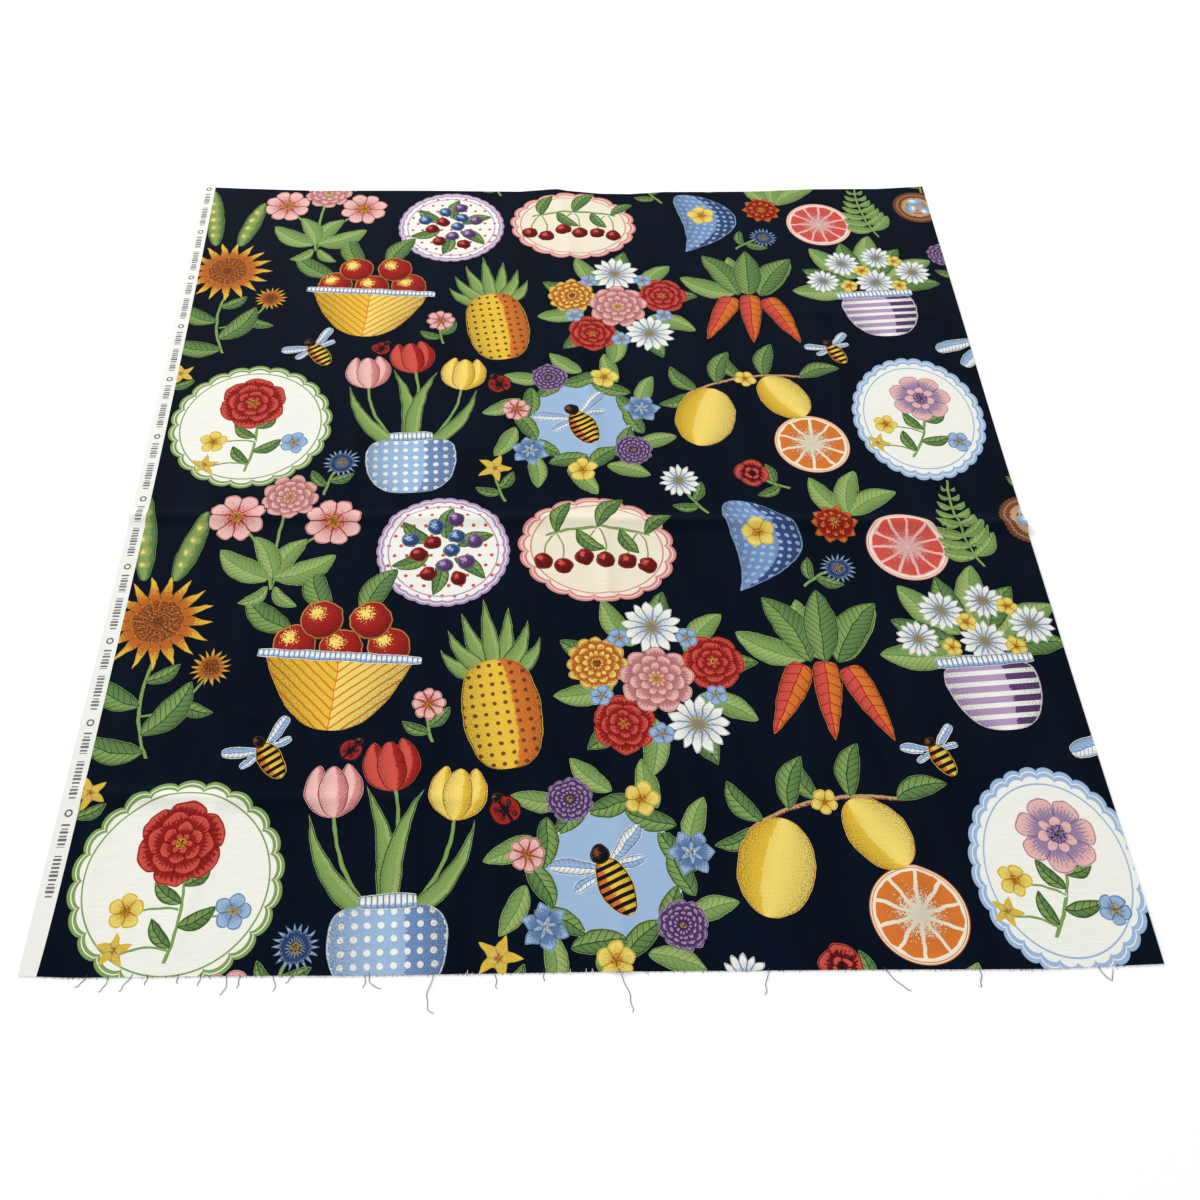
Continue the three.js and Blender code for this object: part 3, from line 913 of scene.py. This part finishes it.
# %% A socket that can be reckoned with
class Wire:
    """One output socket of a shader tree, for use in formulas."""

    def __init__(self, tree, socket):
        self.tree, self.socket = tree, socket

    def node(self, kind, settings=None, output=0, inputs=None):
        """Any other node of the same tree, by its type, its settings and its sockets' values."""
        return add_node(self.tree, kind, settings, output, inputs)

    def math(self, operation, *others):
        """A Math node, or a Vector Math node if this wire carries a vector."""
        vector = self.socket.type in ("VECTOR", "RGBA")
        kind = "ShaderNodeVectorMath" if vector else "ShaderNodeMath"
        numbers = dict(zip(("0", "1", "2"), (self, *others)))
        return self.node(kind, {"operation": operation}, 0, numbers)

    def __add__(self, other):
        return self.math("ADD", other)

    def __sub__(self, other):
        return self.math("SUBTRACT", other)

    def __mul__(self, other):
        return self.math("MULTIPLY", other)

    def __truediv__(self, other):
        return self.math("DIVIDE", other)

    def __pow__(self, other):
        return self.math("POWER", other)

    def __mod__(self, other):
        return self.math("FLOORED_MODULO", other)

    def __lt__(self, other):
        return self.math("LESS_THAN", other)

    def __gt__(self, other):
        return self.math("GREATER_THAN", other)

    def __radd__(self, other):
        return self.math("ADD", other)

    def __rmul__(self, other):
        return self.math("MULTIPLY", other)

    def __rsub__(self, other):
        return self.node("ShaderNodeMath", {"operation": "SUBTRACT"}, 0, {"0": other, "1": self})

    def __abs__(self):
        return self.math("ABSOLUTE")

    def split(self):
        """The three numbers of a vector."""
        first = self.node("ShaderNodeSeparateXYZ", None, 0, {"Vector": self})
        return [Wire(self.tree, output) for output in first.socket.node.outputs]

    def where(self, mask, other):
        """This number where the mask is 1, and the other where it is 0."""
        numbers = {"0": mask, "2": other, "3": self}
        return self.node("ShaderNodeMix", {"data_type": "FLOAT"}, 0, numbers)


def fill(tree, node, inputs):
    """Give a node's sockets their values or links."""
    for name, value in inputs.items():
        socket = node.inputs[int(name) if name.isdigit() else name]
        if isinstance(value, Wire):
            tree.links.new(value.socket, socket)
        else:
            socket.default_value = value


def add_node(tree, kind, settings=None, output=0, inputs=None):
    """Make a node, set it, because that decides its sockets, then fill them. Returns one output."""
    node = tree.nodes.new(kind)
    for name, value in (settings or {}).items():
        setattr(node, name, value)
    fill(tree, node, inputs or {})
    return Wire(tree, node.outputs[output])


def attribute(tree, name, output="Vector"):
    """What is stored under a name on the piece's faces or corners."""
    return add_node(tree, "ShaderNodeAttribute", {"attribute_name": name}, output)


def noise(tree, place, scale, detail, dimensions="2D", output=0):
    """Soft noise of about 0.5, with lumps of 1 / scale."""
    return add_node(tree, "ShaderNodeTexNoise", {"noise_dimensions": dimensions}, output,
                    {"Vector": place, "Scale": scale, "Detail": detail})


def mixed(tree, share, first, second):
    """The first colour where the share is 0, and the second where it is 1."""
    return add_node(tree, "ShaderNodeMix", {"data_type": "RGBA"}, 2,
                    {"0": share, "6": first, "7": second})


def length_of(x, y):
    """The root of x squared plus y squared."""
    return (x * x + y * y) ** 0.5


def new_material(name):
    """A material and its tree, which starts with one surface shader."""
    material = bpy.data.materials.new(name)
    material.use_nodes = True
    return material, material.node_tree


def dress(piece, material, sockets, bump=None):
    """Fill the material's surface shader, give it a bump if asked, and put it on the piece."""
    tree = material.node_tree
    if bump:
        sockets = sockets | {"Normal": add_node(tree, "ShaderNodeBump", None, 0, bump)}
    fill(tree, tree.nodes["Principled BSDF"], sockets)
    piece.data.materials.append(material)
    print(material.name, "has", len(tree.nodes), "nodes")


print("wires ready")

# %% [markdown]
# The hand of the engraver shows in a print like this: outlines waver, petals are streaked from the
# heart outwards, and shadows are stippled. One noise moves every outline a little. Another breaks
# the edge between two inks into streaks. Scattered specks grow towards the dark side of a shape, and
# its rim is a thin pale line. Each layer works out two numbers: which ink lies here, and how much
# that ink is shaded. Layers are stacked by choosing, so every point ends with one ink.

# %% Drawing rules for the three kinds of shape
# widths in mm
OUTLINE = 0.5
RIM = 0.35
VEIN_HALF = 0.35
LACE_HALF = 0.3
RING_HALF = 0.45
DOT_PITCH = 7.5
BROAD = 2.0
STIPPLE_FROM = 3.0
THIN_SIDE = 0.6
# shares of a petal, of a berry's radius, or of a plate's rim
HATCHES = 3.5
CORE_SHARE = 0.56
SCRATCH_SHARE = 0.66
SCRATCH_HALF = 0.35
GLINT_AT = (-0.28, 0.32)
GLINT_SIZE = 0.31
RING_GAP = 1.6
SHADOW_SHARE = 0.32
LONG_WOBBLE = 0.6
# how far the streaks and hatches move an edge between two inks
CORE_STREAK = 0.9
CORE_HATCH = 0.3
SCRATCH_STREAK = 1.6
SHADOW_STREAK = 3.0
SEED_LEVEL = 0.01
# tones: 1 is the plain ink, and the rest say how much lighter or darker a mark is
PETAL_FOOT, PETAL_RISE = 0.74, 0.3
BERRY_TOP, BERRY_FALL = 1.1, 0.3
LONG_SIDE, LONG_RISE = 0.82, 0.22
PLATE_STREAK = 0.05
LONG_STREAK = 0.15
RIM_LIGHT = 0.2
EDGE_DARK = 0.12
LINE_DARK = 0.34
SCRATCH_DARK = 0.24
STIPPLE_DARK = 0.32


def shape_inputs(tree, layer):
    """Place, form, finish and inks of one layer, each split into three numbers."""
    return [attribute(tree, f"{layer}_{word}").split() for word in ("place", "form", "finish", "inks")]


def draw_bloom(tree, layer, wobble, streak, specks):
    """Rings of petals: edge of ring k = k - notch x g, where g rises between petals.

    The core ink is streaked outwards from the foot of each petal, or round the glint of a berry.
    Only shapes with a thin side line are modelled, with a pale rim and dark marks."""
    (x, y, size), (petals, rings, notch), (point, heart, side), inks = shape_inputs(tree, layer)
    x, y = x + wobble[0], y + wobble[1]
    distance = length_of(x, y)
    turn = y.math("ARCTAN2", x)
    level = distance / size * rings
    ring = level.math("CEIL").math("MAXIMUM", 1.0)

    def lobes(k):
        """Cosine across a petal of ring k, 1 at its middle and 0 between petals, and its edge."""
        angle = (turn * petals + k * np.pi) * 0.5
        across = abs(angle.math("COSINE"))
        pointed = abs(angle.math("SINE"))
        gap = pointed.where(point, 1.0 - across**0.5)
        return across, k - notch * gap

    across, edge = lobes(ring)
    ring = ring + (level > edge)
    across, edge = lobes(ring)
    inside = ring < rings + 0.5
    depth = (edge - level) / rings * size
    seam = across * 2.0 / petals * distance
    along = level - ring + 1.0
    outer = ring > rings - 0.5
    line = (depth < OUTLINE + RIM * outer).math("MAXIMUM", seam < side)
    hatch = abs((turn * petals * HATCHES).math("SINE"))
    berry = petals < 0.5
    modelled = side < THIN_SIDE
    glint = length_of(x - size * GLINT_AT[0], y - size * GLINT_AT[1]) / size
    core = (glint + (CORE_SHARE - GLINT_SIZE)).where(berry, along + hatch * CORE_HATCH)
    core = core + streak * CORE_STREAK < CORE_SHARE
    ink = inks[1].where(line.math("MAXIMUM", core), inks[0])
    middle = distance < heart * size
    seeds = streak > SEED_LEVEL
    ink = inks[1].where(middle * seeds, inks[2].where(middle, ink))
    rim = outer * (depth < RIM) * modelled
    ink = inks[0].where(rim, ink)
    scratch = (hatch < SCRATCH_HALF) * (along + streak * SCRATCH_STREAK < SCRATCH_SHARE)
    scratch = (specks < 0.6 * glint - 0.2).where(berry, scratch)
    petal_tone = PETAL_FOOT + PETAL_RISE * along.math("MINIMUM", 1.0)
    shade = (BERRY_TOP - BERRY_FALL * glint).where(berry, petal_tone)
    marks = RIM_LIGHT * rim - (LINE_DARK * line).math("MAXIMUM", SCRATCH_DARK * scratch)
    return inside, ink, shade + marks * modelled


def draw_plate(tree, layer, wobble, streak, specks):
    """Edge = size - depth of the scallops x (1 - root of a cosine), a ring inside it, and dots."""
    (x, y, size), (scallops, deep, rim), (dot, _, _), inks = shape_inputs(tree, layer)
    distance = length_of(x, y)
    across = abs((y.math("ARCTAN2", x) * scallops * 0.5).math("COSINE"))
    depth = size * (1.0 - deep * (1.0 - across**0.5)) - distance
    ring = abs(size - distance - rim * RING_GAP - 1.0) < RING_HALF
    lace = abs(depth - rim * 0.5) < LACE_HALF
    every_other = (y / DOT_PITCH).math("FLOOR") * (DOT_PITCH / 2)
    beside, over = (abs(axis % DOT_PITCH - DOT_PITCH / 2) for axis in (x + every_other, y))
    ink = inks[2].where(length_of(beside, over) < dot, inks[1])
    ink = inks[0].where((depth < rim).math("MAXIMUM", ring), ink)
    shade = 1.0 - EDGE_DARK * (depth < OUTLINE) + PLATE_STREAK * streak
    return depth > 0.0, inks[1].where(lace, ink), shade


def draw_long(tree, layer, wobble, streak, specks):
    """Half width = width x s^base x (1 - s)^tip. It has veins, dots or stripes across it.

    A veined shape has its second ink on one side of its rib, any other in a crescent along it."""
    (s, y, length), (width, base, tip), (pitch, slant, share), inks = shape_inputs(tree, layer)
    y = y + wobble[0] * LONG_WOBBLE
    inner = s.math("MAXIMUM", 0.0).math("MINIMUM", 1.0)
    half = width * inner**base * (1.0 - inner) ** tip
    away = abs(y)
    depth = half - away
    inside = (depth > 0.0) * (abs(s - 0.5) < 0.5)
    veins = ((s * length - slant * away) / pitch).math("FRACT") < share
    dots = length_of(*((axis / pitch).math("FRACT") - 0.5 for axis in (s * length, y))) < share
    veined = slant > 0.0
    pattern = dots.where(slant < 0.0, veins)
    rib = (away < VEIN_HALF) * veined
    broad = width > BROAD
    line = ((depth < OUTLINE + RIM) * broad).math("MAXIMUM", rib)
    shadow = -SHADOW_SHARE * half * (1.0 - veined)
    ink = inks[0].where(y + streak * SHADOW_STREAK > shadow, inks[1])
    ink = inks[2].where(pattern.math("MAXIMUM", line), ink)
    rim = (depth < RIM) * broad
    ink = inks[0].where(rim, ink)
    middling = depth / (half + 0.01)
    stipple = (specks < 0.46 - 0.6 * middling) * (half > STIPPLE_FROM)
    shade = LONG_SIDE + LONG_RISE * middling + LONG_STREAK * streak
    return inside, ink, shade + RIM_LIGHT * rim - STIPPLE_DARK * stipple


DRAWING = {layer: draw_long if layer in LONG_LAYERS else draw_bloom for layer in LAYERS}
DRAWING["plates"] = draw_plate
print("drawing rules:", {layer: draw.__name__ for layer, draw in DRAWING.items()})

# %% [markdown]
# The cloth itself is a plain weave of about 25 yarns to the centimetre. From table height it reads
# as a very fine grain, with a thicker yarn here and there, and as a matt surface with a faint sheen
# at low angles. The navy ground turns lighter and darker in soft lumps that stretch along the
# selvedge. On the back the dye only shows through, so the underside is paler and greyer.

# %% Printed cotton
YARN = 0.45
SLUB_SCALE = (0.06, 1.7, 0.0)
CLOUD_SCALE = (0.05, 0.012, 0.0)
INK_SLOTS = 32
INK_STRENGTH = 0.92
WOBBLE = 1.3
WOBBLE_SCALE = 0.11
STREAK_SCALE = 0.9
SPECK_SCALE = 0.8
# tones: the least, and how much the noise or the weave adds to it
CLOUD_TONE = (0.4, 1.2)
SLUB_TONE = (0.93, 0.14)
GRAIN_TONE = (0.97, 0.06)
BACK_COLOUR = (0.10, 0.11, 0.14, 1.0)
BACK_SHARE = 0.6


def weave(tree, place):
    """Height of a plain weave, sine x sine, and the thicker yarns as a second number."""
    along, across, _ = place.split()
    wave = [(axis * (np.pi / YARN)).math("SINE") for axis in (along, across)]
    return abs(wave[0] * wave[1]), noise(tree, place * SLUB_SCALE, 1.0, 1.0)


def millimetres(tree):
    """The point's own place on its piece, in millimetres."""
    return add_node(tree, "ShaderNodeTexCoord", None, "Object") * (1000.0, 1000.0, 1000.0)


def facing_up(tree):
    """1 on a face that looks straight up, and -1 on one that looks straight down."""
    return add_node(tree, "ShaderNodeNewGeometry", None, "True Normal").split()[2]


def ink_ramp(tree, ink):
    """The colour of an ink from its number, by a ramp of flat steps."""
    ramp = add_node(tree, "ShaderNodeValToRGB", None, 0, {"Fac": ink / float(INK_SLOTS)})
    steps = ramp.socket.node.color_ramp
    steps.interpolation = "CONSTANT"
    steps.elements.remove(steps.elements[1])
    for number, colour in enumerate(INKS.values()):
        step = steps.elements[0] if number == 0 else steps.elements.new(number / INK_SLOTS)
        step.color = (*(INK_STRENGTH * light_of(colour)), 1.0)
    return ramp


cotton, tree = new_material("printed_cotton")
place = millimetres(tree)
wobble = noise(tree, place, WOBBLE_SCALE, 1.0, output="Color") - (0.5, 0.5, 0.5)
wobble = (wobble * (2 * WOBBLE, 2 * WOBBLE, 0.0)).split()
streak = noise(tree, place, STREAK_SCALE, 1.0) - 0.5
specks = place.node("ShaderNodeTexVoronoi", {"voronoi_dimensions": "2D"}, 0,
                    {"Vector": place, "Scale": SPECK_SCALE, "Randomness": 0.7})
grain, slubs = weave(tree, place)

ink = INK_NUMBERS["navy"] + MID_INK
shade = CLOUD_TONE[0] + CLOUD_TONE[1] * noise(tree, place * CLOUD_SCALE, 1.0, 3.0)
for layer, draw in DRAWING.items():
    inside, layer_ink, layer_shade = draw(tree, layer, wobble, streak, specks)
    ink = layer_ink.where(inside, ink)
    shade = layer_shade.where(inside, shade)
for (least, added), level in ((SLUB_TONE, slubs), (GRAIN_TONE, grain)):
    shade = shade * (least + added * level)
dye = ink_ramp(tree, ink)
colour = dye.node("ShaderNodeVectorMath", {"operation": "SCALE"}, 0, {"0": dye, "Scale": shade})
colour = mixed(tree, (facing_up(tree) < -0.5) * BACK_SHARE, colour, BACK_COLOUR)
dress(
    printed, cotton,
    {"Base Color": colour, "Roughness": 0.85, "Specular IOR Level": 0.04, "Sheen Weight": 0.015,
     "Sheen Roughness": 0.5},
    {"Strength": 0.25, "Distance": 0.00015, "Height": grain + slubs},
)

# %% [markdown]
# The selvedge is the cloth's own edge, woven firmer and left unprinted, so it is the white of
# bleached cotton. Mills print small marks along it for the cutter. Here they are plain: two short
# rows of grey dashes of uneven length and a ring, coming round again every 53 mm. The first 36 mm
# have none.

# %% Selvedge cotton
MARK_PITCH = 53.0
FIRST_MARK = 36.0
MARK_MIDDLE = 5.6
DASH_PITCH = 2.1
DASH_HALF = 2.3
DASH_SHARE = 0.38
DASH_CHANCE = 0.34
DASHES_FROM = 2.0
DASHES_TO = 41.0
PAUSE_AT = 26.0
PAUSE_HALF = 2.2
RING_AT = 47.0
RING_RADIUS = 1.7
RING_LINE = 0.5
MARK_GREY = (0.10, 0.10, 0.11, 1.0)
SELVEDGE_WHITE = (0.82, 0.82, 0.775, 1.0)
SELVEDGE_SHADE = (0.68, 0.68, 0.64, 1.0)

u, v = corner_map(selvedge).T
keep_vectors(selvedge, "edge_place", "CORNER", np.stack([u - left_edge(v), v, 0 * v], -1))

bleached, tree = new_material("selvedge_cotton")
place = attribute(tree, "edge_place")
across, along, _ = place.split()
grain, slubs = weave(tree, place)
position = (along - FIRST_MARK) % MARK_PITCH
step = (position / DASH_PITCH).math("FLOOR")
chance = step.node("ShaderNodeTexWhiteNoise", {"noise_dimensions": "1D"}, "Value", {"W": step})
dash = (position / DASH_PITCH).math("FRACT") < DASH_SHARE + DASH_CHANCE * chance
dash = dash * (abs(across - MARK_MIDDLE) < DASH_HALF * (0.75 + 0.25 * chance))
dash = dash * (position > DASHES_FROM) * (position < DASHES_TO)
dash = dash * (abs(position - PAUSE_AT) > PAUSE_HALF)
ring = abs(length_of(across - MARK_MIDDLE, position - RING_AT) - RING_RADIUS) < RING_LINE
mark = dash.math("MAXIMUM", ring) * (along > FIRST_MARK) * (0.72 + 0.4 * slubs)
white = mixed(tree, slubs * grain, SELVEDGE_WHITE, SELVEDGE_SHADE)
colour = mixed(tree, mark * (facing_up(tree) > 0.3), white, MARK_GREY)
dress(
    selvedge, bleached,
    {"Base Color": colour, "Roughness": 0.85, "Specular IOR Level": 0.25},
    {"Strength": 0.3, "Distance": 0.0002, "Height": grain + slubs},
)

# %% [markdown]
# Scissors leave cut yarns behind. Where the crosswise yarns fall out of the near edge, the
# lengthwise ones stand free as a fringe of 1 or 2 mm, and some trail out much further. The twenty
# longest are listed, each with a root, a reach, a sideways drift and a bow. The short ones
# are strewn by a seeded generator, and a few white tufts lie back over the print. All of them are
# tubes swept along a path by array arithmetic.

# %% Thread paths
# root along the near edge, reach in front of it, drift, bow, share of the way back to the edge
LONG_THREADS = np.array([
    [34, 4.0, -5.5, 0.4, 0], [44, 6.4, -3.6, 0.8, 0], [56, 6.2, -5.7, -0.9, 0],
    [63, 3.4, -0.9, 0.3, 0], [78, 3.0, 0.6, -0.3, 0], [89, 4.0, -1.4, 0.5, 0],
    [102, 8.4, -2.7, 0.9, 0], [109, 5.4, -1.7, -0.6, 0], [124, 7.0, 0.8, 1.1, 0],
    [134, 3.0, -3.6, 0.4, 0], [171, 5.8, 6.1, -1.6, 0], [169, 5.4, -0.8, 0.4, 0],
    [203, 17.6, 0.0, -3.6, 0], [232, 7.0, 1.0, 0.4, 0], [256, 3.6, 0.0, 0.3, 0],
    [293, 18.6, 4.9, 2.2, 0], [366, 11.0, -3.5, -0.6, 0], [422, 9.6, 11.5, 0.9, 0],
    [469, 8.0, -2.1, 0.7, 0], [527, 6.2, 7.3, 0.6, 0.82],
])
LONG_STEPS = 26
THREAD_RADIUS = 0.16
THREAD_ROOT = 1.5
WIGGLE = 0.5
WAVINESS = 0.6
BOUNCE = 0.35
TOUCHDOWN = 3.0
FRINGE_COUNT = 280
FRINGE_STEPS = 5
FRINGE_RADIUS = 0.10
FRINGE_ROOT = 2.1
FRINGE_LEAST = 0.1
FRINGE_MOST = 1.7
FRINGE_LEAN = 0.35
TUFT_RADIUS = 0.18
TUFTS = np.array([217.9, 218.8, 220.6, 224.5, 268.4, 269.1, 276.6, 279.7, 280.4, 289.6])
dice = np.random.default_rng(7)


def under_cloth(u, v):
    """Height of the cloth's underside over a point, or over the near edge in front of it."""
    return lift(u, np.maximum(v, near_edge(u)))


def long_paths(table):
    """u = root + drift t + bow sin(pi t) + wiggle, out = (reach + 1.5) sin(pi t / 2) - 1.5.

    A share back turns the thread round at its furthest point."""
    root, reach, drift, bow, back = table.T[:, :, None]
    t = np.linspace(0, 1, LONG_STEPS)[None, :]
    out = (reach + THREAD_ROOT) * np.sin(np.pi / 2 * (1 + back) * t) - THREAD_ROOT
    phase = root * 1.7
    wiggle = WIGGLE * np.sin(np.pi * t) * np.sin(t * (5 + reach * WAVINESS) + phase)
    u = root + drift * t + bow * np.sin(np.pi * t) + wiggle
    v = near_edge(root) - out
    z = THREAD_RADIUS + BOUNCE * (0.5 + 0.5 * np.sin(t * 9 + phase)) * (1 - t)
    z = z + under_cloth(u, v) * np.clip(1 - out / TOUCHDOWN, 0, 1)
    return np.stack([u, v, z], -1)


def fringe_paths(count):
    """Short lengthwise yarns that start in the weave and end unevenly in front of it."""
    root = np.sort(dice.uniform(SELVEDGE_WIDTH, NEAR_WIDTH - 1.5, count))[:, None]
    t = np.linspace(0, 1, FRINGE_STEPS)[None, :]
    reach = FRINGE_LEAST + dice.gamma(0.9, 0.35, (count, 1)).clip(0, FRINGE_MOST)
    lean = dice.normal(0, FRINGE_LEAN, (count, 1)) * reach
    v = near_edge(root) + FRINGE_ROOT - (reach + FRINGE_ROOT) * t
    u = root + lean * t**2
    z = under_cloth(u, v) * (1 - 0.5 * t) + FRINGE_RADIUS + 0.02
    return np.stack([u, v, z], -1)


def tuft_paths(root):
    """Bleached ends of 1 to 2 mm that lie back on the cloth, each with its own lean."""
    root = root[:, None]
    t = np.linspace(0, 1, FRINGE_STEPS)[None, :]
    v = near_edge(root) - 0.4 + (1.8 + 0.7 * np.cos(root * 5)) * t
    u = root + 0.9 * np.sin(root * 3) * t
    z = under_cloth(u, v) + SHELL + TUFT_RADIUS * np.sin(np.pi * t)
    return np.stack([u, v, z], -1)


print("long threads:", len(LONG_THREADS))

# %% Loose threads and fringe
# paths, radius, sides, and how much thinner the tip is
SORTS = [
    (long_paths(LONG_THREADS), THREAD_RADIUS, 5, 0.35),
    (fringe_paths(FRINGE_COUNT), FRINGE_RADIUS, 4, 0.4),
    (tuft_paths(TUFTS), TUFT_RADIUS, 4, 0.5),
]
HAIR = 1e-9


def tubes(paths, radius, sides, taper):
    """Points and faces of a tube along each path. Its sides and two end caps close it."""
    run = np.gradient(paths, axis=1)
    run /= np.linalg.norm(run, axis=2, keepdims=True) + HAIR
    aside = np.stack([run[..., 1], -run[..., 0], 0 * run[..., 0]], -1)
    aside /= np.linalg.norm(aside, axis=2, keepdims=True) + HAIR
    over = np.cross(aside, run)
    count, steps, _ = paths.shape
    turn = np.arange(sides) * 2 * np.pi / sides
    thick = radius * (1 - taper * np.linspace(0, 1, steps) ** 3)[None, :, None, None]
    ring = aside[:, :, None] * np.cos(turn)[:, None] + over[:, :, None] * np.sin(turn)[:, None]
    points = paths[:, :, None] + ring * thick
    number = np.arange(count * steps * sides).reshape(count, steps, sides)
    following = np.roll(number, -1, axis=2)
    around = np.stack([number[:, :-1], following[:, :-1], following[:, 1:], number[:, 1:]], -1)
    ends = np.concatenate([number[:, 0, ::-1], number[:, -1]])
    return points.reshape(-1, 3), [around.reshape(-1, 4), ends]


points, groups, white_groups = np.empty((0, 3)), [], []
for sort in SORTS:
    sort_points, sort_groups = tubes(*sort)
    groups += [group + len(points) for group in sort_groups]
    white_groups += [np.full(len(group), sort is SORTS[-1]) for group in sort_groups]
    points = np.concatenate([points, sort_points])
threads = make_mesh("loose_threads", to_frame(*points.T), groups)
stored = threads.data.attributes.new("bleached", "FLOAT", "FACE")
stored.data.foreach_set("value", np.concatenate(white_groups).astype(np.float32))

# %% [markdown]
# A cotton yarn is two or three strands twisted together. At this scale the twist is only a small
# bump and painted shade, in slanting bands that are darker in the grooves between the strands. The
# yarns were dyed with the ground, so they are a greyed navy, paler where the dye did not reach into
# the weave. The tufts come from yarns that the dye did not reach at all.

# %% Loose thread
YARN_DARK = (0.012, 0.015, 0.024, 1.0)
YARN_PALE = (0.10, 0.11, 0.13, 1.0)
YARN_WHITE = (0.72, 0.72, 0.70, 1.0)
TWIST_PITCH = 0.9
TWIST_SHARE = 0.35
FLUFF_SHARE = 0.45

yarn, tree = new_material("loose_thread")
place = millimetres(tree)
x, y, z = place.split()
# painted shade: slanting bands along the twist, pale on the strands and dark in the grooves between them
twist = ((y + x * 0.4 + z * 2.0) * (2 * np.pi / TWIST_PITCH)).math("SINE") * 0.5 + 0.5
fluff = noise(tree, place, 0.7, 2.0, "3D")
# dark to pale by the painted shade of the twist, and by paler lumps of uneven dye
colour = mixed(tree, twist * TWIST_SHARE + fluff * FLUFF_SHARE, YARN_DARK, YARN_PALE)
colour = mixed(tree, attribute(tree, "bleached", "Fac"), colour, YARN_WHITE)
dress(
    threads, yarn,
    {"Base Color": colour, "Roughness": 0.9, "Specular IOR Level": 0.2},
    {"Strength": 0.4, "Distance": 0.0001, "Height": twist},
)

# %% Table top
TABLE_COLOUR = (0.97, 0.97, 0.97, 1.0)
TABLE_SPECK = (0.95, 0.95, 0.95, 1.0)

table, tree = new_material("table_top")
speck = noise(tree, add_node(tree, "ShaderNodeTexCoord", None, "Object"), 3.0, 2.0, "3D")
colour = mixed(tree, speck, TABLE_COLOUR, TABLE_SPECK)
dress(floor, table, {"Base Color": colour, "Roughness": 0.8})

# %% [markdown]
# Last, each piece is hung from the root of the frame, and the plain solid that it stands for is
# hidden. Both sheets lie flat, so the printed sheet's width is simply the mean of its width along
# the selvedge.

MEAN_STEPS = 200

for piece, node, slot in (
    (printed, "printed_cloth", "printed_cotton"),
    (selvedge, "selvedge_band", "selvedge_cotton"),
    (threads, "frayed_edge", "loose_thread"),
):
    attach(piece, "root")
    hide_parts(node)
across = np.linspace(0, NEAR_WIDTH, MEAN_STEPS)
along = np.linspace(0, SELVEDGE_LENGTH, MEAN_STEPS)
printed_width = float((right_edge(along) - selvedge_inner(along)).mean()) * mm
